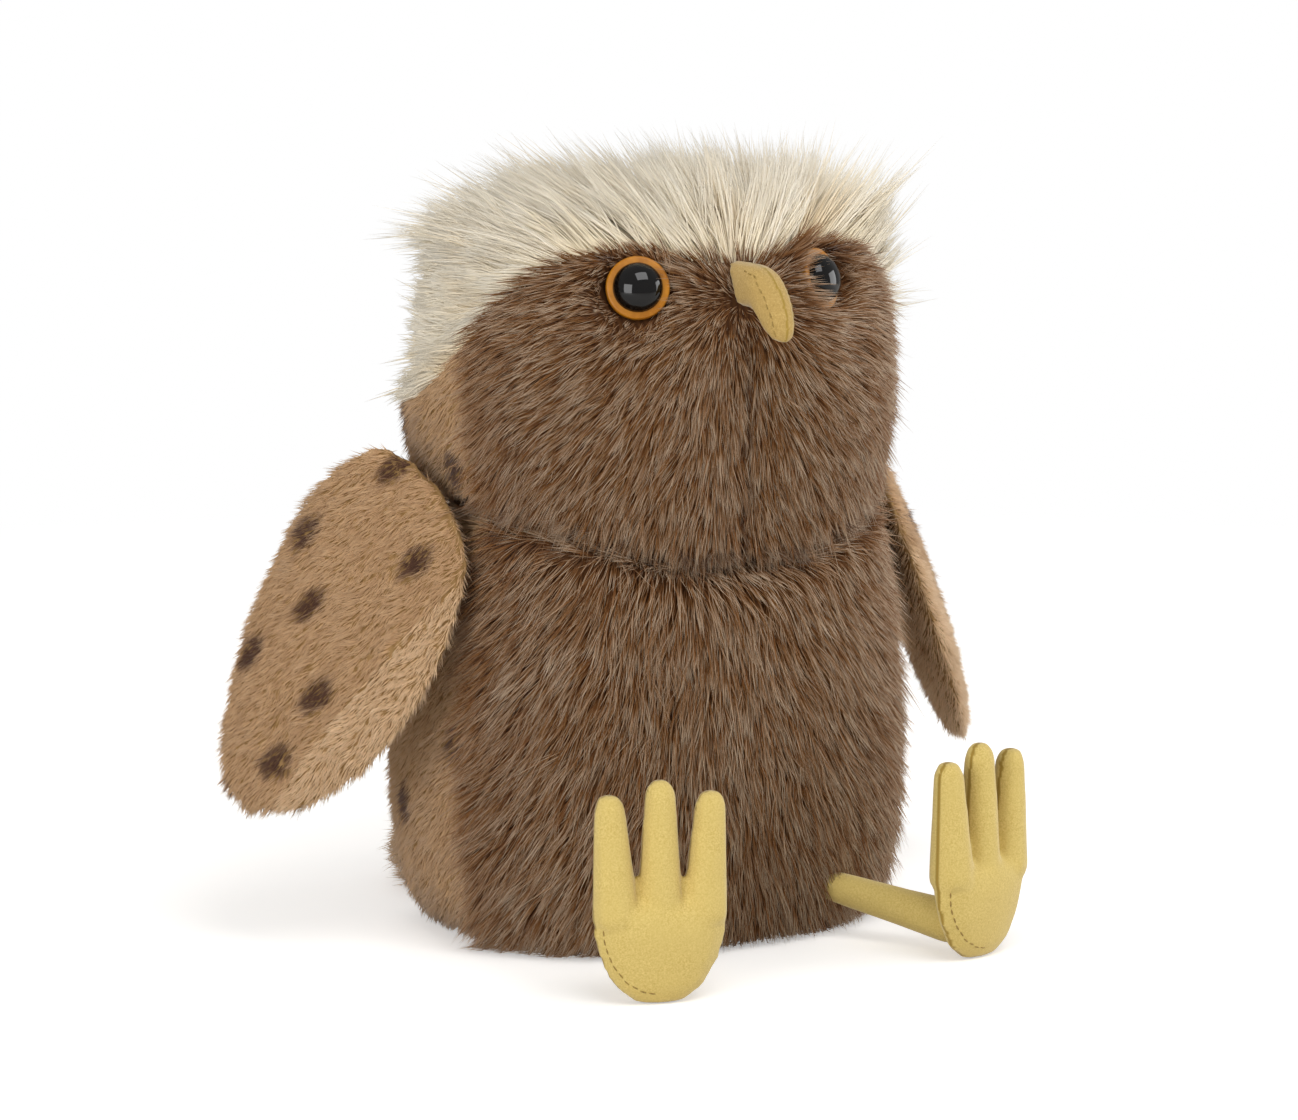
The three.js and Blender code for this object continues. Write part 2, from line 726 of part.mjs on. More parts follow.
// Feet: a rounded palm that stands on its heel, with three toes
const cutTop = middleToeHeight + seamOverrun;
const frontHalf = block(
  new THREE.Vector3(-footSpacing, -footSpacing, -seamOverrun),
  new THREE.Vector3(footSpacing, -seamGap / 2, cutTop),
);
const backHalf = block(
  new THREE.Vector3(-footSpacing, seamGap / 2, -seamOverrun),
  new THREE.Vector3(footSpacing, footSpacing, cutTop),
);

// A toe narrows to its rounded tip. The outer toes spread: their middles move out as they rise.
function toe(side, height, depth) {
  const radius = toeRadius - depth;
  const rise = height - toeRadius;
  const spread = (toeSpacing - toeRootSpacing) / (rise - toeBase);
  const tip = quarterRound(radius, rise, radius, tipSteps);
  const shape = turned([[0, toeBase], [toeRootRadius - depth, toeBase], ...tip], toeSides);
  const leaning = new THREE.Matrix4().makeShear(0, 0, 0, 0, side * spread, 0);
  leaning.setPosition(side * (toeRootSpacing - spread * toeBase), 0, 0);
  return solidOf(placed(shape, leaning));
}

const palm = new Form({
  halfWidth: footHalfWidth,
  frontDepth: footHalfDepth,
  backDepth: footHalfDepth,
  roundness: roundPlan,
  bottom: () => 0,
  top: () => palmHeight,
  profileShares: palmProfileShares,
});

function footSolid(depth) {
  return palm
    .solid(depth)
    .add(toe(0, middleToeHeight, depth))
    .add(toe(-1, outerToeHeight, depth))
    .add(toe(1, outerToeHeight, depth));
}

const footShell = footSolid(0).subtract(footSolid(suedeThickness));
const footCentre = new THREE.Vector3(-footSpacing / 2, -footReach, 0);
const footFrame = new THREE.Matrix4().makeRotationZ(-footSplay).setPosition(footCentre);
const footPieces = {
  foot_front: [footShell.intersect(frontHalf), suede],
  foot_back: [footShell.intersect(backHalf), suede],
  foot_filling: [footSolid(suedeThickness + seamGap), wadding],
};
for (const [name, [solid, colour]] of Object.entries(footPieces))
  pair(name, placed(geometryOf(solid), footFrame), colour);

// Legs: suede tubes from the lower edge of the body's front to the back of each foot
const legStandoff = legRadius + seamGap;
const hip = body.at(FRONT - hipAngle, body.levelOf(hipHeight / neckHeight), -legStandoff);
const ankle = palm
  .at(degrees(90), palm.levelOf(ankleHeight / palmHeight), -legStandoff)
  .applyMatrix4(footFrame);
const legLine = ankle.clone().sub(hip);
const legFrame = new THREE.Matrix4().compose(
  hip,
  new THREE.Quaternion().setFromUnitVectors(new THREE.Vector3(0, 0, 1), legLine.clone().normalize()),
  new THREE.Vector3(1, 1, 1),
);
const hipOpening = degrees(-75); // the rounded end is open towards the body
function legProfile(radius) {
  const hipArc = fan(hipOpening, 0, arcSteps).map((turn) => [
    radius * Math.cos(turn),
    radius * Math.sin(turn),
  ]);
  return [...hipArc, ...quarterRound(radius, legLine.length(), radius, arcSteps)];
}
const legInside = legProfile(legRadius - suedeThickness);
const legCover = turned([...legProfile(legRadius).reverse(), ...legInside], limbSides);
const waddingProfile = legProfile(legRadius - suedeThickness - seamGap);
const legFilling = turned([[0, waddingProfile[0][1]], ...waddingProfile], limbSides);
pair("leg_cover", asSolid(placed(legCover, legFrame)), suede);
pair("leg_filling", asSolid(placed(legFilling, legFrame)), wadding);

// Tail: a short flat stub sewn to the lower back
const tail = new Form({
  halfWidth: tailHalfWidth,
  frontDepth: tailDepth,
  backDepth: tailDepth,
  roundness: bodyRoundness,
  bottom: () => tailClearance,
  top: () => tailClearance + tailHeight,
  profileShares: cushionProfileShares,
  centre: new THREE.Vector3(0, tailReach - tailDepth, 0),
});
const bodyOutside = bodySolid(-seamGap);
const tailCover = tail.solid(0).subtract(tail.solid(plushThickness)).subtract(bodyOutside);
mesh("tail_cover", geometryOf(tailCover), fur.tan);
const tailFilling = tail.solid(plushThickness + seamGap).subtract(bodyOutside);
mesh("tail_filling", geometryOf(tailFilling), wadding);

export default owl;
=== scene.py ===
import math

import bpy
import numpy as np
from mathutils import Matrix, Vector
from mathutils.bvhtree import BVHTree
from mathutils.kdtree import KDTree


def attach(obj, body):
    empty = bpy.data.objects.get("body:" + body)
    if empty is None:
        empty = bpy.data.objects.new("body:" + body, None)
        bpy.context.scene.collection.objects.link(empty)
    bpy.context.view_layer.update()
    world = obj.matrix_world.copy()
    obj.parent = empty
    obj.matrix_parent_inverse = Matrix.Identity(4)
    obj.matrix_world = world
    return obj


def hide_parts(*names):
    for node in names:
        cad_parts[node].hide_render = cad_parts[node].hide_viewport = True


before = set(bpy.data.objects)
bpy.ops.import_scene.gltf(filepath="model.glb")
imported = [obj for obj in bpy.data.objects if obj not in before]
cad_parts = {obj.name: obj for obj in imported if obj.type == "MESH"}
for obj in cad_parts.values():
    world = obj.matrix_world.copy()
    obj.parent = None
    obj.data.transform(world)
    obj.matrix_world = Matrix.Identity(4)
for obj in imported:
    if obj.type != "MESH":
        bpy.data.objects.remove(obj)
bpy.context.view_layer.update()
mm = 0.001
sides = {"right": -1, "left": 1}  # the owl's own sides, by the sign of X
print("stage: frame loaded")


# Small helpers

def toLinear(hexText):
    parts = [int(hexText[i:i + 2], 16) / 255 for i in (1, 3, 5)]
    return [v / 12.92 if v <= 0.04045 else ((v + 0.055) / 1.055) ** 2.4 for v in parts] + [1.0]


def clearSelection():
    if bpy.context.object and bpy.context.object.mode != "OBJECT":
        bpy.ops.object.mode_set(mode="OBJECT")
    bpy.ops.object.select_all(action="DESELECT")


def activate(ob):
    clearSelection()
    ob.select_set(True)
    bpy.context.view_layer.objects.active = ob


def applyModifier(ob, kind, **settings):
    activate(ob)
    modifier = ob.modifiers.new(kind.title(), kind)
    for name, value in settings.items():
        setattr(modifier, name, value)
    bpy.ops.object.modifier_apply(modifier=modifier.name)


def settle(ob):
    activate(ob)
    bpy.ops.object.transform_apply(location=True, rotation=True, scale=True)
    bpy.ops.object.shade_smooth()


def numbers(items, name, width, kind=float):
    values = np.empty(len(items) * width, kind)
    items.foreach_get(name, values)
    return values.reshape(-1, width)


def unit(vectors):
    return vectors / np.maximum(np.linalg.norm(vectors, axis=-1, keepdims=True), 1e-9)


def places(ob):
    return numbers(ob.data.vertices, "co", 3)


def setPlaces(ob, values):
    ob.data.vertices.foreach_set("co", np.asarray(values, float).ravel())
    ob.data.update()


def vertexNormals(ob):
    return numbers(ob.data.vertex_normals, "vector", 3)


# One call adds a node: its settings by name, and what goes into it
def addNode(material, kind, settings=None, links=None):
    tree = material.node_tree
    made = tree.nodes.new(kind)
    for name, value in (settings or {}).items():
        if isinstance(name, int) or name in made.inputs:
            made.inputs[name].default_value = value
        else:
            setattr(made, name, value)
    for name, source in (links or {}).items():
        tree.links.new(source, made.inputs[name])
    return made


def newMaterial(name):
    material = bpy.data.materials.new(name)
    material.use_nodes = True
    material.node_tree.nodes.clear()
    return material


def finishMaterial(material, settings, links):
    shader = addNode(material, "ShaderNodeBsdfPrincipled", settings, links)
    addNode(material, "ShaderNodeOutputMaterial", links={"Surface": shader.outputs[0]})
    return material


def colourRamp(material, stops, source):
    ramp = addNode(material, "ShaderNodeValToRGB", links={"Fac": source})
    elements = ramp.color_ramp.elements
    while len(elements) < len(stops):
        elements.new(0.5)
    for element, (place, hexText) in zip(elements, stops):
        element.position = place
        element.color = toLinear(hexText)
    return ramp.outputs["Color"]


def blendColours(material, share, low, high):
    mix = addNode(material, "ShaderNodeMix", {"data_type": "RGBA"})
    tree = material.node_tree
    tree.links.new(share, mix.inputs["Factor"])
    for socket, value in ((mix.inputs[6], low), (mix.inputs[7], high)):  # its colour sockets
        if isinstance(value, str):
            socket.default_value = toLinear(value)
        else:
            tree.links.new(value, socket)
    return mix.outputs[2]


# Materials

# Long or short knitted pile: acrylic fibres whose roots and tips are dyed apart, matt with a soft edge light.
# "along" runs from root to tip, "tuft" differs from tuft to tuft, "mark" is where a spot or an edge is dyed,
# and "shade" lays painted shade, towards the "shadow" colour, in the creases at the face and neck seams;
# on the crown it makes a small rust-pink tuft.
def pileMaterial(name, look):
    material = newMaterial(name)
    along, tuft, mark, shade = (
        addNode(material, "ShaderNodeAttribute", {"attribute_name": field}).outputs["Fac"]
        for field in ("along", "tuft", "mark", "shade"))
    pale = colourRamp(material, look["paleStops"], along)
    deep = colourRamp(material, look["deepStops"], along)
    colour = blendColours(material, tuft, deep, pale)
    colour = blendColours(material, mark, colour, colourRamp(material, look["markStops"], along))
    # painted shade from the "shade" attribute (on the crown, the rust-pink tuft)
    colour = blendColours(material, shade, colour, look["shadow"])
    return finishMaterial(material, {
        "Roughness": look["roughness"], "Specular IOR Level": 0.25,
        "Sheen Weight": look["sheen"], "Sheen Roughness": 0.5,
    }, {"Base Color": colour})


greyBrownPile = pileMaterial("greyBrownAcrylicPile", {
    "paleStops": [(0, "#4F2F14"), (0.43, "#7A5027"), (0.66, "#AF967B"), (1, "#D2BEA7")],
    "deepStops": [(0, "#43270F"), (0.5, "#6A3F16"), (0.8, "#865A2D"), (1, "#9E764A")],
    "markStops": [(0, "#4A2A0E"), (0.5, "#7E4E1A"), (1, "#A9712B")],
    "shadow": "#402410", "roughness": 0.85, "sheen": 0.12,
})
tanPlush = pileMaterial("tanPolyesterPlush", {
    "paleStops": [(0, "#AC885F"), (0.5, "#CDA77E"), (1, "#DCB992")],
    "deepStops": [(0, "#9C7953"), (0.5, "#BC966E"), (1, "#CEA882")],
    "markStops": [(0, "#432B1C"), (0.5, "#573A2A"), (1, "#684836")],
    "shadow": "#7A5C3C", "roughness": 0.85, "sheen": 0.12,
})
lightPlush = pileMaterial("lightPolyesterPlush", {
    "paleStops": [(0, "#BC9A70"), (0.5, "#E2BF98"), (1, "#F0D4B0")],
    "deepStops": [(0, "#AA8860"), (0.5, "#D2AE86"), (1, "#E4C29C")],
    "markStops": [(0, "#8E6F4A"), (0.5, "#B8966C"), (1, "#CBAA80")],
    "shadow": "#8E6F4A", "roughness": 0.85, "sheen": 0.12,
})
creamPile = pileMaterial("creamModacrylicPile", {
    "paleStops": [(0, "#F0E4CC"), (0.35, "#F3E9D6"), (1, "#F1EADB")],
    "deepStops": [(0, "#E8DABC"), (0.35, "#EDE1C8"), (1, "#EFE5D2")],
    "markStops": [(0, "#DABA84"), (0.4, "#EED6AC"), (1, "#F5E6CA")],
    "shadow": "#C08A66", "roughness": 0.8, "sheen": 0.05,
})


# Knitted backing under a pile: its rib is drawn about 2 mm wide, coarser than the real knit, so that it shows
# between the fibres
def backingMaterial(name, low, high):
    material = newMaterial(name)
    coords = addNode(material, "ShaderNodeTexCoord").outputs["Object"]
    rib = addNode(material, "ShaderNodeTexWave", {"Scale": 160, "Distortion": 3.0}, {"Vector": coords})
    cloud = addNode(material, "ShaderNodeTexNoise", {"Scale": 220, "Detail": 3}, {"Vector": coords})
    share = addNode(material, "ShaderNodeMath", {"operation": "MULTIPLY"},
                    {0: rib.outputs["Fac"], 1: cloud.outputs["Fac"]}).outputs[0]
    bump = addNode(material, "ShaderNodeBump", {"Strength": 0.4, "Distance": 0.4 * mm}, {"Height": share})
    return finishMaterial(material, {"Roughness": 0.95, "Specular IOR Level": 0.15},
                          {"Base Color": blendColours(material, share, low, high), "Normal": bump.outputs[0]})


brownBacking = backingMaterial("brownKnittedBacking", "#3E2410", "#5E3C1E")
tanBacking = backingMaterial("tanKnittedBacking", "#84663F", "#A08056")
creamBacking = backingMaterial("creamKnittedBacking", "#D8CBB0", "#EADFC8")


seamShade = "#9C8038"  # the suede beside its seams


# Yellow microfibre suede: a dense brushed nap with half-millimetre specks of lighter and darker fibre ends,
# and a soft sheen
def suedeMaterial(name, stops, worn):
    material = newMaterial(name)
    coords = addNode(material, "ShaderNodeTexCoord").outputs["Object"]
    speck = addNode(material, "ShaderNodeTexNoise", {"Scale": 1900, "Detail": 3, "Roughness": 0.7},
                    {"Vector": coords}).outputs["Fac"]
    patch = addNode(material, "ShaderNodeTexNoise", {"Scale": 130, "Detail": 3},
                    {"Vector": coords}).outputs["Fac"]
    grain = colourRamp(material, stops, speck)
    colour = blendColours(material, patch, grain, worn)
    seam = addNode(material, "ShaderNodeAttribute", {"attribute_name": "seam"}).outputs["Fac"]
    colour = blendColours(material, seam, colour, seamShade)
    bump = addNode(material, "ShaderNodeBump", {"Strength": 0.5, "Distance": 0.25 * mm}, {"Height": speck})
    return finishMaterial(material, {
        "Roughness": 0.9, "Specular IOR Level": 0.2, "Sheen Weight": 0.35, "Sheen Roughness": 0.4,
    }, {"Base Color": colour, "Normal": bump.outputs[0]})


yellowSuede = suedeMaterial(
    "yellowMicrofibreSuede", [(0.3, "#B39648"), (0.48, "#C9B068"), (0.55, "#D2BA72"), (0.72, "#E3CC86")],
    "#CDB56C")
ochreSuede = suedeMaterial(
    "ochreMicrofibreSuede", [(0.3, "#8F7236"), (0.48, "#AE9050"), (0.55, "#B89A5A"), (0.72, "#D3B878")],
    "#B3955A")


# Sewing thread, a tone darker than the suede: twisted polyester with a slight shine
def threadMaterial():
    material = newMaterial("ochrePolyesterThread")
    coords = addNode(material, "ShaderNodeTexCoord").outputs["Object"]
    twist = addNode(material, "ShaderNodeTexNoise", {"Scale": 3000, "Detail": 1},
                    {"Vector": coords}).outputs["Fac"]
    colour = colourRamp(material, [(0.3, "#7A6126"), (0.7, "#A88B45")], twist)
    return finishMaterial(material, {"Roughness": 0.6}, {"Base Color": colour})


ochreThread = threadMaterial()


# Injection-moulded plastics: amber with a satin rim and faint mottling, black polished to a lens
def plasticMaterial(name, low, high, roughness, specular):
    material = newMaterial(name)
    coords = addNode(material, "ShaderNodeTexCoord").outputs["Object"]
    mottle = addNode(material, "ShaderNodeTexNoise", {"Scale": 320, "Detail": 4},
                     {"Vector": coords}).outputs["Fac"]
    colour = colourRamp(material, [(0.35, low), (0.65, high)], mottle)
    bump = addNode(material, "ShaderNodeBump", {"Strength": 0.05, "Distance": 0.05 * mm}, {"Height": mottle})
    return finishMaterial(material, {"Roughness": roughness, "Specular IOR Level": specular, "IOR": 1.49},
                          {"Base Color": colour, "Normal": bump.outputs[0]})


amberPlastic = plasticMaterial("amberAcrylicPlastic", "#A0630E", "#B67617", 0.4, 0.35)
blackPlastic = plasticMaterial("blackAcrylicPlastic", "#060505", "#0A0807", 0.04, 0.4)
whitePlastic = plasticMaterial("whiteNylonPlastic", "#D8D6D0", "#E6E4DF", 0.5, 0.5)
print("stage: materials")


# Camera, floor and lights

view = {"azimuth": -31.0, "elevation": 8.3, "distance": 1.3, "aim": (0, 0, 0.1064), "lens": 122.6}


def placeCamera():
    turn, climb = math.radians(view["azimuth"]), math.radians(view["elevation"])
    toward = Vector((math.sin(turn) * math.cos(climb), -math.cos(turn) * math.cos(climb), math.sin(climb)))
    clearSelection()
    bpy.ops.object.camera_add(location=Vector(view["aim"]) + toward * view["distance"],
                              rotation=toward.to_track_quat("Z", "Y").to_euler())
    camera = bpy.context.object
    camera.name = "sceneCamera"
    camera.data.lens = view["lens"]
    camera.data.sensor_width = 36
    camera.data.sensor_fit = "HORIZONTAL"
    bpy.context.scene.camera = camera


lamps = {  # place, size across and up, watts; each one faces the owl
    "softboxRight": {"place": (-1.22, -0.6, 0.36), "size": (0.75, 0.7), "power": 8.5},
    "softboxLeft": {"place": (1.18, -0.62, 0.36), "size": (0.75, 0.7), "power": 7.5},
    "softboxTop": {"place": (-0.1, -0.85, 1.3), "size": (0.9, 0.7), "power": 9},
    "softboxBack": {"place": (0.2, 1.1, 1.2), "size": (1.2, 0.6), "power": 4.5},
}
lampAim = (0, 0, 0.1)


def placeLamps():
    for name, lamp in lamps.items():
        place = Vector(lamp["place"])
        clearSelection()
        bpy.ops.object.light_add(type="AREA", location=place,
                                 rotation=(place - Vector(lampAim)).to_track_quat("Z", "Y").to_euler())
        ob = bpy.context.object
        ob.name = name
        ob.data.shape = "RECTANGLE"
        ob.data.size, ob.data.size_y = lamp["size"]
        ob.data.energy = lamp["power"]


stageLook = {"floorSize": 6, "floorColour": "#E9E7E4", "glow": 0.42, "ambient": 0.43}


# Seamless studio paper: matt white; what the camera sees of it is lifted to white, its shadows stay
def paperMaterial():
    material = newMaterial("whiteStudioPaper")
    coords = addNode(material, "ShaderNodeTexCoord").outputs["Object"]
    tooth = addNode(material, "ShaderNodeTexNoise", {"Scale": 900, "Detail": 2},
                    {"Vector": coords}).outputs["Fac"]
    colour = blendColours(material, tooth, stageLook["floorColour"], "#EFEDEA")
    path = addNode(material, "ShaderNodeLightPath")
    glow = addNode(material, "ShaderNodeMath", {"operation": "MULTIPLY", 1: stageLook["glow"]},
                   {0: path.outputs["Is Camera Ray"]}).outputs[0]
    lit = addNode(material, "ShaderNodeBsdfPrincipled", {"Roughness": 0.95, "Specular IOR Level": 0.1},
                  {"Base Color": colour, "Emission Strength": glow})
    lit.inputs["Emission Color"].default_value = (1, 0.99, 0.98, 1)
    white = addNode(material, "ShaderNodeEmission", {"Color": (1, 1, 1, 1)})
    distance = addNode(material, "ShaderNodeVectorMath", {"operation": "LENGTH"},
                       {0: coords}).outputs["Value"]
    far = addNode(material, "ShaderNodeMapRange", {"From Min": 0.35, "From Max": 0.9}, {"Value": distance})
    seen = addNode(material, "ShaderNodeMath", {"operation": "MULTIPLY"},
                   {0: far.outputs[0], 1: path.outputs["Is Camera Ray"]}).outputs[0]
    mixed = addNode(material, "ShaderNodeMixShader", links={
        "Fac": seen, 1: lit.outputs[0], 2: white.outputs[0]})
    addNode(material, "ShaderNodeOutputMaterial", links={"Surface": mixed.outputs[0]})
    return material


def placeStage():
    clearSelection()
    bpy.ops.mesh.primitive_plane_add(size=stageLook["floorSize"], location=(0, 0, 0))
    floor = bpy.context.object
    floor.name = "studioFloor"
    floor.data.materials.append(paperMaterial())
    world = bpy.data.worlds.new("softStudio")
    bpy.context.scene.world = world
    world.use_nodes = True
    world.node_tree.nodes.clear()
    path = addNode(world, "ShaderNodeLightPath")
    strength = addNode(world, "ShaderNodeMapRange", {"To Min": stageLook["ambient"], "To Max": 1.0},
                       {"Value": path.outputs["Is Camera Ray"]})
    sky = addNode(world, "ShaderNodeBackground", {"Color": (1, 1, 1, 1)}, {"Strength": strength.outputs[0]})
    addNode(world, "ShaderNodeOutputWorld", links={"Surface": sky.outputs[0]})
    bpy.context.scene.view_settings.view_transform = "Standard"


placeCamera()
placeLamps()
placeStage()
print("stage: camera, lights and floor")


# Which sewn panel of the pattern a point belongs to

def panelFinder(names):
    corners, faces, owners = [], [], []
    for i, name in enumerate(names):
        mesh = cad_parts[name].data
        start = len(corners)
        corners += [v.co.copy() for v in mesh.vertices]
        faces += [[start + v for v in p.vertices] for p in mesh.polygons]
        owners += [i] * len(mesh.polygons)
    tree = BVHTree.FromPolygons(corners, faces)

    def find(points, withGaps=False):
        found = [tree.find_nearest(Vector(p)) for p in points]
        nearest = np.array([owners[f[2]] for f in found])
        return (nearest, np.array([f[3] for f in found])) if withGaps else nearest
    return find


# A field that is 1 against the neighbouring panels of a seam, and falls to 0 within a reach of it
def besideSeam(neighbours, reach):
    find = panelFinder(neighbours)

    def near(points):
        return 1 - np.clip(find(points, withGaps=True)[1] / mm / reach, 0, 1)
    return near


def joinedCopy(name, nodes):
    clearSelection()
    copies = []
    for node in nodes:
        copy = bpy.data.objects.new(name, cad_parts[node].data.copy())
        bpy.context.collection.objects.link(copy)
        copy.select_set(True)
        copies.append(copy)
    bpy.context.view_layer.objects.active = copies[0]
    if len(copies) > 1:
        bpy.ops.object.join()
    ob = bpy.context.object
    ob.name = ob.data.name = name
    ob.data.materials.clear()
    bpy.ops.object.mode_set(mode="EDIT")
    bpy.ops.mesh.select_all(action="SELECT")
    bpy.ops.mesh.remove_doubles(threshold=0.00001)
    bpy.ops.object.mode_set(mode="OBJECT")
    return ob


# Stuffed skins: the sewn fabric of each part, remeshed over its pattern pieces and blown up between its seams

skinHabit = {"coveredWithin": 2.5, "coverFade": 3, "againstReach": 12, "smoothing": 3, "quality": 6,
             "frames": 20}


def seamVertices(ob, owners):
    edges = numbers(ob.data.edges, "vertices", 2, int)
    crossing = edges[owners[edges[:, 0]] != owners[edges[:, 1]]]
    return np.unique(crossing)


def stuff(ob, seams, piece):
    group = ob.vertex_groups.new(name="seams")
    group.add([int(i) for i in seams], 1.0, "REPLACE")
    before = places(ob)
    activate(ob)
    cloth = ob.modifiers.new("Stuffing", "CLOTH")
    cloth.settings.use_pressure = True
    cloth.settings.uniform_pressure_force = piece["pressure"]
    cloth.settings.vertex_group_mass = "seams"
    cloth.settings.effector_weights.gravity = 0
    cloth.settings.quality = skinHabit["quality"]
    for number in range(1, skinHabit["frames"] + 1):
        bpy.context.scene.frame_set(number)
    bpy.ops.object.modifier_apply(modifier=cloth.name)
    bpy.context.scene.frame_set(1)
    moved = places(ob) - before
    reach = np.linalg.norm(moved, axis=1, keepdims=True)
    setPlaces(ob, before + moved * np.minimum(1, piece["swell"] * mm / np.maximum(reach, 1e-9)))
    ob.vertex_groups.clear()


def sewSkin(piece):
    ob = joinedCopy(piece["name"], piece["nodes"])
    applyModifier(ob, "REMESH", mode="VOXEL", voxel_size=piece["voxel"] * mm)
    find = panelFinder(piece["panels"])
    owners, gaps = find(places(ob), withGaps=True)
    # 0 where the part is sewn shut against its neighbour
    covered = 1 - np.clip((gaps / mm - skinHabit["coveredWithin"]) / skinHabit["coverFade"], 0, 1)
    depths = np.array([piece["depths"][name] for name in piece["panels"]])[owners] * covered * mm
    if "against" in piece:
        depths = depths * (1 - besideSeam(piece["against"], skinHabit["againstReach"])(places(ob)))
    tuck = Vector((0, 0, piece.get("tuck", 0) * mm))
    setPlaces(ob, places(ob) - vertexNormals(ob) * depths[:, None] + (1 - covered)[:, None] * np.array(tuck))
    applyModifier(ob, "SMOOTH", factor=0.5, iterations=skinHabit["smoothing"])
    stuff(ob, seamVertices(ob, owners), piece)
    applyModifier(ob, "SUBSURF", levels=1, render_levels=1)
    if piece.get("grounded"):
        values = places(ob)
        values[:, 2] = np.maximum(values[:, 2], piece["grounded"] * mm)
        setPlaces(ob, values)
    for material in piece["materials"]:
        ob.data.materials.append(material)
    centres = numbers(ob.data.polygons, "center", 3)
    slots = np.array([piece["slots"].get(name, 0) for name in piece["panels"]])[find(centres)]
    ob.data.polygons.foreach_set("material_index", slots.astype(np.int32))
    seam = np.zeros(len(ob.data.vertices), np.float32)
    seam[seamVertices(ob, find(places(ob)))] = 1
    ob.data.attributes.new("seam", "FLOAT", "POINT").data.foreach_set("value", seam)
    settle(ob)
    return ob


bodyPanels = ["body_front_panel", "body_side_panel_right", "body_side_panel_left", "base_panel"]
headPanels = ["face_panel_right", "face_panel_left", "head_side_panel_right", "head_side_panel_left",
              "crown_panel"]
eyeAt = {name: Vector((sign * 29.592, -42.947, 190.652)) * mm for name, sign in sides.items()}
eyeOut = {name: Vector((sign * 0.4555, -0.8567, 0.2419)).normalized() for name, sign in sides.items()}


bodySkinSpec = {
    "name": "bodySkin", "nodes": bodyPanels + ["body_filling"], "panels": bodyPanels, "voxel": 4.5,
    "depths": {"body_front_panel": 3.8, "body_side_panel_right": 3, "body_side_panel_left": 3,
               "base_panel": 0},
    "against": headPanels[:4], "pressure": 4, "swell": 2, "grounded": 0.6, "tuck": 5,
    "materials": [brownBacking, tanBacking],
    "slots": {"body_side_panel_right": 1, "body_side_panel_left": 1, "base_panel": 1},
}
headSkinSpec = {
    "name": "headSkin", "nodes": headPanels[:4] + ["head_filling"], "panels": headPanels, "voxel": 4,
    "depths": {"face_panel_right": 3.8, "face_panel_left": 3.8, "head_side_panel_right": 3,
               "head_side_panel_left": 3, "crown_panel": 1.5},
    "against": bodyPanels[:3], "tuck": -4, "pressure": 4, "swell": 2,
    "materials": [brownBacking, tanBacking, creamBacking],
    "slots": {"head_side_panel_right": 1, "head_side_panel_left": 1, "crown_panel": 2},
}
bodySkin = sewSkin(bodySkinSpec)
headSkin = sewSkin(headSkinSpec)
print("stage: body and head skins")


def wingSpec(side):
    panels = [f"wing_outer_panel_{side}", f"wing_inner_panel_{side}"]
    return {
        "name": f"{side}WingSkin", "nodes": panels + [f"wing_filling_{side}"], "panels": panels, "voxel": 3,
        "depths": {name: 1.8 for name in panels}, "pressure": 3, "swell": 1.2,
        "materials": [tanBacking], "slots": {},
    }


wingSkins = {side: sewSkin(wingSpec(side)) for side in sides}
tailSkin = sewSkin({
    "name": "tailSkin", "nodes": ["tail_cover", "tail_filling"], "panels": ["tail_cover"], "voxel": 3,
    "depths": {"tail_cover": -3}, "pressure": 3, "swell": 1.2, "grounded": 0.6,
    "materials": [tanBacking], "slots": {},
})
print("stage: wing and tail skins")


# Pile: tapered three-sided fibres rooted in the skins, combed, and drawn together into tufts
strandHabit = {"rootDepth": 0.5, "floorGap": 0.6, "wispLength": 1.4, "wispPull": 0.5, "unevenTop": 0.05,
               "liftRange": (4, 88)}


def scatter(skin, wanted, find, perSquareMm, rng):
    skin.data.calc_loop_triangles()
    points, normals = places(skin), vertexNormals(skin)
    corners = numbers(skin.data.loop_triangles, "vertices", 3, np.int32)
    near = np.isin(find(points), wanted)
    corners = corners[near[corners].any(axis=1)]
    a, b, c = (points[corners[:, i]] for i in range(3))
    area = np.linalg.norm(np.cross(b - a, c - a), axis=1) / 2
    count = int(area.sum() / mm ** 2 * perSquareMm)
    chosen = rng.choice(len(corners), count, p=area / area.sum())
    shares = rng.dirichlet((1, 1, 1), count)[:, :, None]
    roots = (points[corners[chosen]] * shares).sum(axis=1)
    outward = unit((normals[corners[chosen]] * shares).sum(axis=1))
    mine = np.isin(find(roots), wanted)
    return roots[mine], outward[mine]


# A soft random field over the surface, about -1 to 1, that makes neighbouring tufts lean together
def drift(points, size, rng):
    waves = rng.normal(size=(10, 3)) * (2 * math.pi / (size * mm))
    return np.sin(points @ waves.T + rng.random(10) * 2 * math.pi).sum(axis=1) / math.sqrt(10)


def tufts(points, count, rng):
    leaders = rng.choice(len(points), max(1, count), replace=False)
    tree = KDTree(len(leaders))
    for i in leaders:
        tree.insert(points[i], int(i))
    tree.balance()
    return np.array([tree.find(p)[1] for p in points])


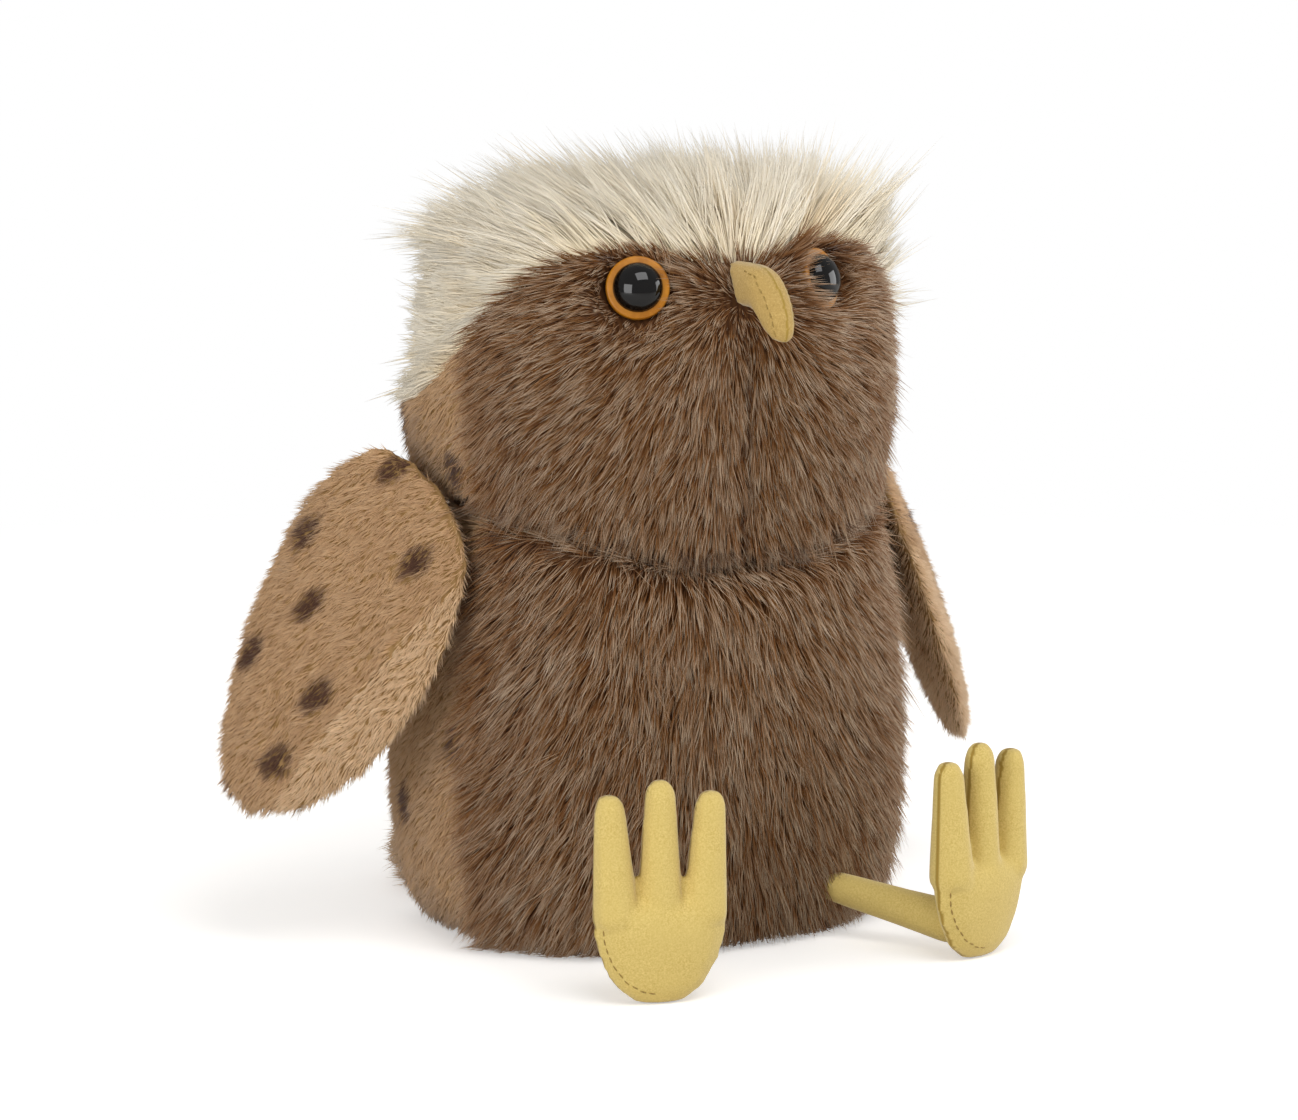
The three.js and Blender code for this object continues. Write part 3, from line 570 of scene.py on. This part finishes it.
def strandPaths(roots, outward, piece, rng):
    count = len(roots)
    flow = piece["comb"](roots, outward)
    flow = unit(flow - (flow * outward).sum(axis=1, keepdims=True) * outward)
    across = np.cross(outward, flow)
    spacing = piece["tuftSpacing"]
    leader = tufts(roots, int(count / piece["perSquareMm"] / spacing ** 2), rng)
    own = rng.normal(size=(count, 4))
    shared = rng.normal(size=(count, 4))[leader]
    wander = drift(roots, piece["driftSize"], rng)
    turn = np.radians(piece["turn"]) * (0.8 * shared[:, 0] + 0.5 * own[:, 0]) + piece["swirl"] * wander
    lift = np.radians(piece["lift"](roots) + piece["liftSpread"] * (0.7 * shared[:, 1] + 0.5 * own[:, 1]))
    lift = np.clip(lift, *np.radians(strandHabit["liftRange"]))[:, None]
    lean = flow * np.cos(turn)[:, None] + across * np.sin(turn)[:, None]
    direction = lean * np.cos(lift) + outward * np.sin(lift)
    length = piece["length"] * mm * np.exp(piece["spread"] * (0.6 * shared[:, 2] + 0.5 * own[:, 2]))
    wispy = rng.random(count) < piece["wisps"]
    length = length * piece["trim"](roots) * np.where(wispy, strandHabit["wispLength"], 1)
    steps = np.linspace(0, 1, piece["rings"] + 1)
    bend = lean * piece["curl"] - outward * piece["curl"] * 0.6 + np.array([0, 0, -piece["droop"]])
    start = roots[:, None, :] - outward[:, None, :] * strandHabit["rootDepth"] * mm
    paths = start + length[:, None, None] * (
        direction[:, None, :] * steps[None, :, None] + bend[:, None, :] * steps[None, :, None] ** 2)
    pull = piece["pull"] * np.clip(1 - 0.35 * np.abs(own[:, 3]), 0, 1)
    pull = pull * np.where(wispy, strandHabit["wispPull"], 1)
    pull = pull[:, None, None] * steps[None, :, None] ** piece["pullFrom"]
    paths = paths * (1 - pull) + paths[leader] * pull
    rise = np.maximum(paths[:, -1, 2] - roots[:, 2], 1e-6)
    room = piece["ceiling"] * mm * (1 - strandHabit["unevenTop"] * rng.random(count)) - roots[:, 2]
    fit = np.where(rise > room, room / rise, 1)[:, None, None]
    paths = roots[:, None, :] + (paths - roots[:, None, :]) * fit
    paths[:, :, 2] = np.maximum(paths[:, :, 2], strandHabit["floorGap"] * mm)
    return paths, steps, leader


def weave(name, paths, steps, outward, piece, marks):
    count, levels = paths.shape[:2]
    rings = levels - 1
    tangent = unit(paths[:, -1] - paths[:, 0])
    first = unit(np.cross(tangent, outward) + 1e-6)
    second = np.cross(tangent, first)
    angles = np.array([0, 2, 4]) * math.pi / 3
    spokes = (first[:, None, :] * np.cos(angles)[None, :, None]
              + second[:, None, :] * np.sin(angles)[None, :, None])
    radii = piece["width"] / 2 * mm * (1 - 0.8 * steps[:-1] ** 1.5)
    ringPoints = paths[:, :-1, None, :] + spokes[:, None, :, :] * radii[None, :, None, None]
    corners = np.concatenate([ringPoints.reshape(count, rings * 3, 3), paths[:, -1:, :]], axis=1)
    perStrand = rings * 3 + 1
    quads = [(r * 3 + i, r * 3 + (i + 1) % 3, (r + 1) * 3 + (i + 1) % 3, (r + 1) * 3 + i)
             for r in range(rings - 1) for i in range(3)]
    last = (rings - 1) * 3
    triangles = [(last + i, last + (i + 1) % 3, perStrand - 1) for i in range(3)] + [(2, 1, 0)]
    pattern = np.array([i for face in quads + triangles for i in face])
    sizes = np.array([4] * len(quads) + [3] * len(triangles))
    loops = (pattern[None, :] + np.arange(count)[:, None] * perStrand).ravel()
    starts = np.concatenate([[0], np.cumsum(np.tile(sizes, count))[:-1]])
    mesh = bpy.data.meshes.new(name)
    mesh.vertices.add(count * perStrand)
    mesh.vertices.foreach_set("co", corners.ravel())
    mesh.loops.add(len(loops))
    mesh.loops.foreach_set("vertex_index", loops.astype(np.int32))
    mesh.polygons.add(count * len(sizes))
    mesh.polygons.foreach_set("loop_start", starts.astype(np.int32))
    mesh.update()
    along = np.tile(np.concatenate([np.repeat(steps[:-1], 3), [1.0]]), count)
    layOut(mesh, loops, count, perStrand, along)
    for attribute, values in {"along": along, **marks}.items():
        values = values if attribute == "along" else np.repeat(values, perStrand)
        mesh.attributes.new(attribute, "FLOAT", "POINT").data.foreach_set("value", values.astype(np.float32))
    soft = piece["softness"]
    ringNormals = unit(outward[:, None, :] * soft + spokes * (1 - soft))
    ringNormals = np.tile(ringNormals, (1, rings, 1))
    tipNormals = unit(outward * soft + tangent * (1 - soft))[:, None, :]
    mesh.polygons.foreach_set("use_smooth", np.ones(len(mesh.polygons), bool))
    mesh.normals_split_custom_set_from_vertices(
        np.concatenate([ringNormals, tipNormals], axis=1).reshape(-1, 3))
    ob = bpy.data.objects.new(name, mesh)
    bpy.context.collection.objects.link(ob)
    return ob


# Each fibre has a small cell of its own on the piece's map, its root at the bottom and its tip at the top
mapCell = {"across": (0.12, 0.5, 0.88), "root": 0.1, "rise": 0.8}


def layOut(mesh, loops, count, perStrand, along):
    across = math.ceil(math.sqrt(count))
    strand = np.arange(count).repeat(perStrand)
    corners = np.tile(mapCell["across"], (perStrand - 1) // 3)
    sideways = np.tile(np.append(corners, mapCell["across"][1]), count)
    upwards = strand // across + mapCell["root"] + mapCell["rise"] * along
    spots = np.stack([strand % across + sideways, upwards], axis=1) / across
    mesh.uv_layers.new(name="OFBake").data.foreach_set("uv", spots[loops].ravel())


tuftTone = {"middle": 0.5, "shared": 0.3, "own": 0.22, "patchy": 0.18, "patchSize": 13}


def growPile(piece, skin, names, find):
    rng = np.random.default_rng(piece["seed"])
    wanted = [names.index(name) for name in piece["panels"]]
    roots, outward = scatter(skin, wanted, find, piece["perSquareMm"], rng)
    kept = piece["keep"](roots, rng) if "keep" in piece else np.ones(len(roots), bool)
    roots, outward = roots[kept], outward[kept]
    paths, steps, leader = strandPaths(roots, outward, piece, rng)
    tuft = tuftTone["middle"] + tuftTone["shared"] * rng.normal(size=len(roots))[leader]
    tuft = tuft + tuftTone["own"] * rng.normal(size=len(roots))
    tuft = np.clip(tuft + tuftTone["patchy"] * drift(roots, tuftTone["patchSize"], rng), 0, 1)
    mark = piece["mark"](roots, rng) if "mark" in piece else np.zeros(len(roots))
    shade = piece["shade"](roots) if "shade" in piece else np.zeros(len(roots))
    ob = weave(piece["name"], paths, steps, outward, piece, {"tuft": tuft, "mark": mark, "shade": shade})
    ob.data.materials.append(piece["material"])
    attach(ob, piece["body"])
    print("  ", piece["name"], len(roots), "fibres")


def wholeLength(points):
    return np.ones(len(points))


def evenly(degrees):
    return lambda points: np.full(len(points), float(degrees))


# Grey-brown pile of the body's front: combed down and outwards from the middle
def combFront(points, outward):
    angle = np.arctan2(points[:, 0], -points[:, 1])
    around = np.stack([np.cos(angle), np.sin(angle), 0 * angle], axis=1)
    return around * (0.75 * angle)[:, None] - np.array([0, 0, 1])


def nearMiddle(points, width):
    return np.exp(-(points[:, 0] / (width * mm)) ** 2)


def closeTo(point, points, inner, outer):
    away = np.linalg.norm(points - np.array(point), axis=1)
    return 1 - np.clip((away / mm - inner) / (outer - inner), 0, 1)


# Towards the side seams the pile stands up and shows its rust-coloured lower half
bodySide = besideSeam(["body_side_panel_right", "body_side_panel_left"], 18)
headSide = besideSeam(["head_side_panel_right", "head_side_panel_left"], 18)
# By the neck and brow seams: trims, lifts and rust edges, and painted shade in the creases
chinFold = besideSeam(["face_panel_right", "face_panel_left"], 7)
neckFold = besideSeam(["body_front_panel"], 7)
browSeam = besideSeam(["crown_panel"], 3.5)


def rustEdge(points, field, rng):
    strength = np.where(points[:, 0] < 0, 0.4, 1)  # it is worn away on the owl's right
    return strength * np.clip(1.7 * field - 0.1, 0, 1) * (0.6 + 0.4 * rng.random(len(points)))


frontPile = {
    "panels": ["body_front_panel"], "body": "torso", "slot": "grey_brown_pile", "material": greyBrownPile,
    "perSquareMm": 1.75, "length": 10.5, "width": 0.38, "rings": 2, "liftSpread": 8, "turn": 11,
    "lift": lambda points: 24 + 26 * bodySide(points),
    "mark": lambda points, rng: rustEdge(points, bodySide(points), rng),
    # painted shade in the neck crease under the chin
    "shade": lambda points: 0.7 * chinFold(points) ** 2,
    "ceiling": 234, "swirl": 0.16, "driftSize": 22, "spread": 0.24, "curl": 0.12, "droop": 0.05,
    "tuftSpacing": 1.15, "pull": 0.45, "pullFrom": 1.3, "softness": 0.35, "wisps": 0.04,
    "comb": combFront, "trim": lambda points: 1 - 0.45 * chinFold(points),
}
facePile = {
    **frontPile, "perSquareMm": 2.1, "length": 8.6, "width": 0.35,
    "lift": lambda points: (22 + 26 * np.maximum(headSide(points), browSeam(points))
                            + 30 * besideLeftEye(points)),
    "mark": lambda points, rng: np.maximum(rustEdge(points, headSide(points), rng), 0.9 * browSeam(points)),
}
beakAt = np.array([0, -55, 186]) * mm
eyeParting = {"right": 0.55, "left": 0.1}
eyeClearing = {"right": 8.2, "left": 9.2}  # no fibre is rooted nearer to the axis of the eye


# Between the beak and the left eye the pile stands up, and falls over the eye's inner edge
def besideLeftEye(points):
    inner = np.clip((eyeAt["left"][0] - points[:, 0]) / mm / 5, 0, 1)
    return inner * closeTo(eyeAt["left"], points, 12, 19)


# On the face it is combed out from the beak, and away from each eye close to it
def combFace(points, outward):
    flow = unit(points - beakAt) + np.array([0, 0, -0.18])
    for name in sides:
        near = closeTo(eyeAt[name], points, 10, 15)[:, None] * eyeParting[name]
        flow = flow * (1 - near) + unit(points - np.array(eyeAt[name])) * near
    return flow


def trimFace(points):
    length = np.ones(len(points))
    for name in sides:
        length *= 1 - (0.15 + 0.6 * eyeParting[name]) * closeTo(eyeAt[name], points, 10, 19)
    length *= 1 + 0.5 * besideLeftEye(points)
    return length * (1 - 0.45 * closeTo(beakAt, points, 8, 16)) * (1 - 0.35 * nearMiddle(points, 2))


# Painted shade in the creases at the face's seams: between the cheeks below the beak, along the brow
# and at the neck
def shadeFace(points):
    middle = 0.75 * nearMiddle(points, 1.1) * np.clip((180 - points[:, 2] / mm) / 6, 0, 1)
    return np.maximum.reduce([middle, 0.5 * browSeam(points), 0.7 * neckFold(points) ** 2])


def clearOfEyes(points, rng):
    clear = np.ones(len(points), bool)
    for name in sides:
        offset = points - np.array(eyeAt[name])
        axial = (offset @ np.array(eyeOut[name]))[:, None] * np.array(eyeOut[name])
        clear &= np.linalg.norm(offset - axial, axis=1) > eyeClearing[name] * mm
    return clear


facePile.update({"comb": combFace, "trim": trimFace, "keep": clearOfEyes, "shade": shadeFace})

findBody = panelFinder(bodyPanels)
findHead = panelFinder(headPanels)
waistHeight = 66  # the front's pile is made in an upper and a lower piece on each side
for side, sign in sides.items():
    for part, above in (("Chest", True), ("Belly", False)):
        growPile({**frontPile, "name": f"{side}{part}Pile", "seed": 12 + 3 * sign + above,
                  "keep": lambda points, rng, s=sign, a=above: (points[:, 0] * s >= 0)
                  & ((points[:, 2] > waistHeight * mm) == a)}, bodySkin, bodyPanels, findBody)
    growPile({**facePile, "name": f"{side}FacePile", "seed": 21 + sign,
              "panels": [f"face_panel_{side}"]}, headSkin, headPanels, findHead)
print("stage: grey-brown pile")


# Cream crown pile: long, combed out from the face like a mane, drawn into fine points
faceCentre = np.array([0, -62, 172]) * mm


def combCrown(points, outward):
    return unit(points - faceCentre) + np.array([0, 0.1, 0.05])


# It was brushed out low on the owl's left side, and lies flatter all down its right
def brushedOut(points):
    return np.clip((205 - points[:, 2] / mm) / 30, 0, 1) * np.clip(points[:, 0] / mm / 50, 0, 1)


def laidFlat(points):
    return np.clip((235 - points[:, 2] / mm) / 40, 0, 1) * np.clip(-points[:, 0] / mm / 55, 0, 1)


def trimCrown(points):
    front = 0.85 + 0.15 * np.clip((points[:, 1] / mm + 50) / 30, 0, 1)
    low = np.clip((208 - points[:, 2] / mm) / 22, 0, 1)
    nape = np.clip(points[:, 1] / mm / 50, 0, 1)
    return front * (1 - 0.3 * nape) * (1 + 0.36 * brushedOut(points) - (0.36 + 0.3 * low) * laidFlat(points))


# The pile stands straighter out at the sides of the head than over its top
def crownLift(points):
    side = np.clip(np.abs(points[:, 0]) / mm / 70, 0, 1)
    return 32 + 15 * side + 9 * brushedOut(points) - 12 * laidFlat(points)


# In the middle of the brow, over the beak, a small tuft is rust-pink
def browTuft(points):
    return 0.75 * closeTo(np.array([0, -50, 202]) * mm, points, 1, 7) * nearMiddle(points, 4)


crownPile = {
    "panels": ["crown_panel"], "body": "torso", "slot": "cream_pile", "material": creamPile,
    "perSquareMm": 1.95, "length": 27, "width": 0.46, "rings": 2, "lift": crownLift, "liftSpread": 8,
    "turn": 11, "ceiling": 236, "swirl": 0.24, "driftSize": 45, "spread": 0.22, "curl": 0.05, "droop": 0.05,
    "tuftSpacing": 3, "pull": 0.56, "pullFrom": 1.7, "softness": 0.35, "wisps": 0.2,
    "comb": combCrown, "trim": trimCrown, "shade": browTuft,
    "mark": lambda points, rng: np.clip(drift(points, 30, rng) * 0.8 - 0.15, 0, 1) * 0.5,
}
crownBack = {"perSquareMm": 1.5, "width": 0.52}
for side, sign in sides.items():
    for part, behind in (("Front", False), ("Back", True)):
        growPile({**crownPile, **(crownBack if behind else {}), "name": f"{side}{part}CrownPile",
                  "seed": 31 + sign + 5 * behind,
                  "keep": lambda points, rng, s=sign, b=behind: (points[:, 0] * s >= 0)
                  & ((points[:, 1] > 0) == b)}, headSkin, headPanels, findHead)
print("stage: cream crown")


# Short tan plush with dark-brown spots
def combDown(points, outward):
    return np.tile([0.0, 0.25, -1.0], (len(points), 1))


spotSize = {"across": 4.2, "down": 6.0}


def spotMark(centres, down, across=None):
    def mark(points, rng):
        best = np.full(len(points), 9.0)
        for centre in centres:
            offset = (points - np.array(centre) * mm) / mm
            out = unit(np.array([centre[0], centre[1], 0.0]))
            fall = offset @ down
            level = offset @ (np.cross(out, down) if across is None else across)
            best = np.minimum(best, (level / spotSize["across"]) ** 2 + (fall / spotSize["down"]) ** 2)
        ragged = best + 0.25 * rng.normal(size=len(points))
        return np.clip(1.5 - ragged, 0, 1)
    return mark


plush = {
    "body": "torso", "slot": "tan_plush", "material": tanPlush,
    "perSquareMm": 1.6, "length": 4.4, "width": 0.52, "rings": 1, "lift": evenly(32), "liftSpread": 12,
    "turn": 14, "ceiling": 234, "swirl": 0.3, "driftSize": 24, "spread": 0.2, "curl": 0, "droop": 0,
    "tuftSpacing": 1.3, "pull": 0.25, "pullFrom": 1, "softness": 0.35, "wisps": 0,
    "comb": combDown, "trim": wholeLength,
}
bodySpots = {  # on each side of the body, in mm, from the front seam round to the middle of the back
    "right": [(-75, -13.7, 60.6), (-66, -13, 4), (-74.4, -19, 99.7), (-72, 22, 84), (-74, 20, 40),
              (-58, 42, 108), (-60, 47, 64), (-62, 40, 14), (-36, 62, 90), (-38, 66, 44), (-14, 70, 110),
              (-12, 72, 68), (-36, 60, 10)],
}
headSpots = {"right": [(-74, -8, 140), (-66, 30, 150), (-45, 50, 135), (-16, 60, 152), (-70, 12, 126)]}


leftShift = {"back": 4, "down": 5}  # so that the left's spots aren't an exact mirror of the right's


def mirrored(spots):
    return [(-x, y + leftShift["back"], z - leftShift["down"]) for x, y, z in spots]


bodySpots["left"] = mirrored(bodySpots["right"])
headSpots["left"] = mirrored(headSpots["right"])
downwards = np.array([0, 0, 1.0])
for side, sign in sides.items():
    growPile({**plush, "name": f"{side}BodyPlush", "panels": [f"body_side_panel_{side}"], "seed": 41 + sign,
              "mark": spotMark(bodySpots[side], downwards)}, bodySkin, bodyPanels, findBody)
    growPile({**plush, "name": f"{side}HeadPlush", "panels": [f"head_side_panel_{side}"], "seed": 51 + sign,
              "mark": spotMark(headSpots[side], downwards)}, headSkin, headPanels, findHead)
growPile({**plush, "length": 7, "perSquareMm": 1, "name": "tailPlush", "panels": ["tail_cover"], "seed": 61,
          "comb": lambda points, outward: np.tile([-0.9, 1.0, -0.2], (len(points), 1))},
         tailSkin, ["tail_cover"], panelFinder(["tail_cover"]))

# Wings: the nap runs from the shoulder to the tip; spots on the outer panel, a plain lighter inner panel
wingFrame = {"start": (-75, -1, 137.15), "down": (-0.437, 0.485, -0.758), "across": (-0.049, 0.828, 0.558)}
wingSpots = [(36.2, 13.3), (15.1, -21.2), (47.5, -6.0), (71.3, -1.0), (61.7, -29.4), (83.6, -33.7),
             (3.7, 7.7), (107.6, -24.8), (54.1, 24.3)]
wingEdge = {"across": -33, "taper": 0.1}  # the light strip along the front of the outer panel
for side, sign in sides.items():
    flip = np.array([-sign, 1, 1])
    start, down, across = (np.array(wingFrame[key]) * flip for key in ("start", "down", "across"))
    spots = [start + down * p + across * s for p, s in wingSpots]
    names = [f"wing_outer_panel_{side}", f"wing_inner_panel_{side}"]
    find = panelFinder(names)
    shared = {**plush, "body": f"{side}_wing", "length": 4, "perSquareMm": 3.6, "width": 0.38,
              "comb": lambda points, outward, d=down, a=across: np.tile(d - 0.25 * a, (len(points), 1))}

    def onStrip(points, begin=start, d=down, a=across):
        offset = points / mm - begin
        return offset @ a < wingEdge["across"] - wingEdge["taper"] * (offset @ d)

    growPile({**shared, "name": f"{side}WingPlush", "panels": names[:1], "seed": 71 + sign,
              "mark": spotMark(spots, down, across),
              "keep": lambda points, rng, strip=onStrip: ~strip(points)},
             wingSkins[side], names, find)
    growPile({**shared, "name": f"{side}WingEdge", "panels": names[:1], "seed": 91 + sign,
              "material": lightPlush, "slot": "light_plush",
              "keep": lambda points, rng, strip=onStrip: strip(points)},
             wingSkins[side], names, find)
    growPile({**shared, "name": f"{side}WingLining", "panels": names[1:], "seed": 81 + sign,
              "material": lightPlush, "slot": "light_plush", "perSquareMm": 1.5},
             wingSkins[side], names, find)
print("stage: tan plush")


# Suede beak, legs and feet
beakSkin = sewSkin({
    "name": "beakSkin", "nodes": ["beak_side_right", "beak_side_left", "beak_filling"],
    "panels": ["beak_side_right", "beak_side_left"], "voxel": 0.9,
    "depths": {"beak_side_right": 0.4, "beak_side_left": 0.4}, "pressure": 3, "swell": 0.5,
    "materials": [ochreSuede], "slots": {},
})
beakSeam = {"base": -47.9, "tip": 175.3, "reach": 28, "height": 22.8}
beakRoot = {"back": -52.3, "from": 6, "into": 8}


# The beak's root runs on through the pile into the fabric of the face
def rootBeak(ob):
    values = places(ob)
    share = np.clip((values[:, 1] / mm - beakRoot["back"]) / beakRoot["from"] + 1, 0, 1)
    values[:, 1] += share ** 2 * beakRoot["into"] * mm
    setPlaces(ob, values)


rootBeak(beakSkin)
legSkins, footSkins = {}, {}
for side in sides:
    cover = f"leg_cover_{side}"
    legSkins[side] = sewSkin({
        "name": f"{side}LegSkin", "nodes": [cover, f"leg_filling_{side}"], "panels": [cover], "voxel": 1.4,
        "depths": {cover: 0.4}, "pressure": 3, "swell": 0.5, "grounded": 0.4,
        "materials": [yellowSuede], "slots": {},
    })
    halves = [f"foot_front_{side}", f"foot_back_{side}"]
    footSkins[side] = sewSkin({
        "name": f"{side}FootSkin", "nodes": halves + [f"foot_filling_{side}"], "panels": halves, "voxel": 1.3,
        "depths": {name: -0.5 for name in halves}, "pressure": 3, "swell": 0.6, "grounded": 0.4,
        "materials": [yellowSuede], "slots": {},
    })


# A leg narrows towards the body, and runs on into the body's pile and the heel
legLine = {"hip": (-36.695, -62.321, 13.0), "ankle": (-49.05, -81.081, 8.755)}
legReach = {"intoBody": 10, "intoHeel": 3, "bodyShare": 0.66, "heelShare": 0.92}


def shapeLeg(ob, side):
    flip = np.array([-sides[side], 1, 1])
    hip, ankle = (np.array(legLine[key]) * flip * mm for key in ("hip", "ankle"))
    length = np.linalg.norm(ankle - hip)
    values = places(ob)
    share = (values - hip) @ (ankle - hip) / length ** 2
    thickness = legReach["bodyShare"] + (legReach["heelShare"] - legReach["bodyShare"]) * np.clip(share, 0, 1)
    run = np.where(share < 0.5, legReach["intoBody"], legReach["intoHeel"]) * mm / length * (2 * share - 1)
    middle = hip + share[:, None] * (ankle - hip)
    setPlaces(ob, middle + (values - middle) * thickness[:, None] + run[:, None] * (ankle - hip))


for side in sides:
    shapeLeg(legSkins[side], side)

# Stitches: short turns of thread laid on the suede beside its seams
stitch = {"length": 1.9, "width": 0.5, "step": 2.6, "castFrom": 50}


def sewRow(name, path, toward, skin, body):
    tree = BVHTree.FromObject(skin, bpy.context.evaluated_depsgraph_get())
    path = np.array(path) * mm
    reached = np.concatenate([[0], np.cumsum(np.linalg.norm(np.diff(path, axis=0), axis=1))])
    stops = np.arange(stitch["step"] / 2 * mm, reached[-1], stitch["step"] * mm)
    found = []
    for stop in stops:
        point = Vector([np.interp(stop, reached, path[:, k]) for k in range(3)])
        hit, normal, _, _ = tree.ray_cast(point - Vector(toward) * (stitch["castFrom"] * mm), Vector(toward))
        if hit is not None:
            found.append((hit, normal))
    turns = []
    for i, (hit, normal) in enumerate(found):
        run = found[min(i + 1, len(found) - 1)][0] - found[max(i - 1, 0)][0]
        along = (run - normal * run.dot(normal)).normalized()
        basis = Matrix((normal.cross(along), normal, along)).transposed()
        clearSelection()
        bpy.ops.mesh.primitive_uv_sphere_add(segments=8, ring_count=6, radius=0.5, location=hit,
                                             rotation=basis.to_euler())
        bpy.context.object.scale = [stitch[key] * mm for key in ("width", "width", "length")]
        turns.append(bpy.context.object)
    clearSelection()
    for turn in turns:
        turn.select_set(True)
    bpy.context.view_layer.objects.active = turns[0]
    bpy.ops.object.join()
    row = bpy.context.object
    row.name = name
    row.data.materials.append(ochreThread)
    settle(row)
    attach(row, body)


ridgeShares = [(0.34, 0.9), (0.56, 0.84), (0.75, 0.6), (0.87, 0.34), (0.89, 0.14)]  # of its reach and height
ridge = [(0, beakSeam["base"] - along * beakSeam["reach"], beakSeam["tip"] + up * beakSeam["height"])
         for along, up in ridgeShares]
# On both feet the heel's stitching runs down the edge towards the owl's right
heelPath = [(-16.6, 22), (-16, 17), (-13.8, 11.5), (-10.2, 6.8), (-6, 4.2), (-1.5, 3.2)]  # across and up
footPlan = {"centre": (53, -94), "turn": math.radians(17)}
for side, sign in sides.items():
    sewRow(f"{side}BeakStitches", ridge, (-sign, 0, 0), beakSkin, "torso")
    centreX, centreY = footPlan["centre"]
    acrossX, acrossY = math.cos(footPlan["turn"]), sign * math.sin(footPlan["turn"])
    heel = [(sign * centreX + across * acrossX, centreY + across * acrossY, up) for across, up in heelPath]
    sewRow(f"{side}HeelStitches", heel, (-acrossY, acrossX, 0), footSkins[side], f"{side}_foot")
print("stage: suede beak, legs and feet")


# Eyes: an amber ring round a black domed lens
eye = {"ringRadius": 9.0, "ringThickness": 2.6, "ringBevel": 0.8, "lensRadius": 7.1, "lensHeight": 5.2,
       "lensBase": 2.2}


def turnToEye(ob, side):
    ob.rotation_euler = eyeOut[side].to_track_quat("Z", "Y").to_euler()
    ob.location = eyeAt[side]
    settle(ob)


def makeEye(side):
    clearSelection()
    bpy.ops.mesh.primitive_cylinder_add(vertices=72, radius=eye["ringRadius"] * mm,
                                        depth=eye["ringThickness"] * mm,
                                        location=(0, 0, eye["ringThickness"] / 2 * mm))
    ring = bpy.context.object
    ring.name = f"{side}EyeRing"
    bpy.ops.object.transform_apply(location=True)
    bpy.ops.object.mode_set(mode="EDIT")
    bpy.ops.mesh.select_all(action="SELECT")
    bpy.ops.mesh.bevel(offset=eye["ringBevel"] * mm, segments=4, affect="EDGES")
    bpy.ops.object.mode_set(mode="OBJECT")
    ring.data.materials.append(amberPlastic)
    turnToEye(ring, side)
    clearSelection()
    bpy.ops.mesh.primitive_uv_sphere_add(segments=64, ring_count=32, radius=eye["lensRadius"] * mm)
    lens = bpy.context.object
    lens.name = f"{side}EyeLens"
    bpy.ops.object.mode_set(mode="EDIT")
    bpy.ops.mesh.select_all(action="SELECT")
    bpy.ops.mesh.bisect(plane_co=(0, 0, 0), plane_no=(0, 0, 1), clear_inner=True, use_fill=True)
    bpy.ops.mesh.select_all(action="SELECT")
    bpy.ops.transform.resize(value=(1, 1, eye["lensHeight"] / eye["lensRadius"]), center_override=(0, 0, 0))
    bpy.ops.transform.translate(value=(0, 0, eye["lensBase"] * mm))
    bpy.ops.object.mode_set(mode="OBJECT")
    lens.data.materials.append(blackPlastic)
    turnToEye(lens, side)
    activate(lens)
    bpy.ops.object.shade_smooth_by_angle(angle=math.radians(60))
    activate(ring)
    bpy.ops.object.shade_smooth_by_angle(angle=math.radians(40))
    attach(ring, "torso")
    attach(lens, "torso")
    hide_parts(f"eye_iris_{side}")
    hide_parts(f"eye_pupil_{side}")
    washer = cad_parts[f"eye_washer_{side}"]
    washer.data.materials.clear()
    washer.data.materials.append(whitePlastic)


for side in sides:
    makeEye(side)
print("stage: eyes")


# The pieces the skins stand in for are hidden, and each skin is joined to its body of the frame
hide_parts("base_panel", "body_filling", "bean_pouch", *bodyPanels[:3])
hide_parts("head_filling", *headPanels)
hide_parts("tail_cover", "tail_filling")
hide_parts("beak_side_right", "beak_side_left", "beak_filling")
for ob, slot, fill in ((bodySkin, "tan_plush", 0.8), (headSkin, "tan_plush", 0.85),
                       (tailSkin, "tan_plush", 0.6), (beakSkin, "yellow_suede", 0.8)):
    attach(ob, "torso")
for side in sides:
    for ob, body, nodes, slot, fill in (
        (wingSkins[side], f"{side}_wing", ("wing_outer_panel", "wing_inner_panel", "wing_filling"),
         "tan_plush", 0.6),
        (legSkins[side], f"{side}_leg", ("leg_cover", "leg_filling"), "yellow_suede", 0.7),
        (footSkins[side], f"{side}_foot", ("foot_front", "foot_back", "foot_filling"), "yellow_suede", 0.7),
    ):
        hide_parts(*(f"{node}_{side}" for node in nodes))
        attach(ob, body)
print("stage: pieces joined to the frame")
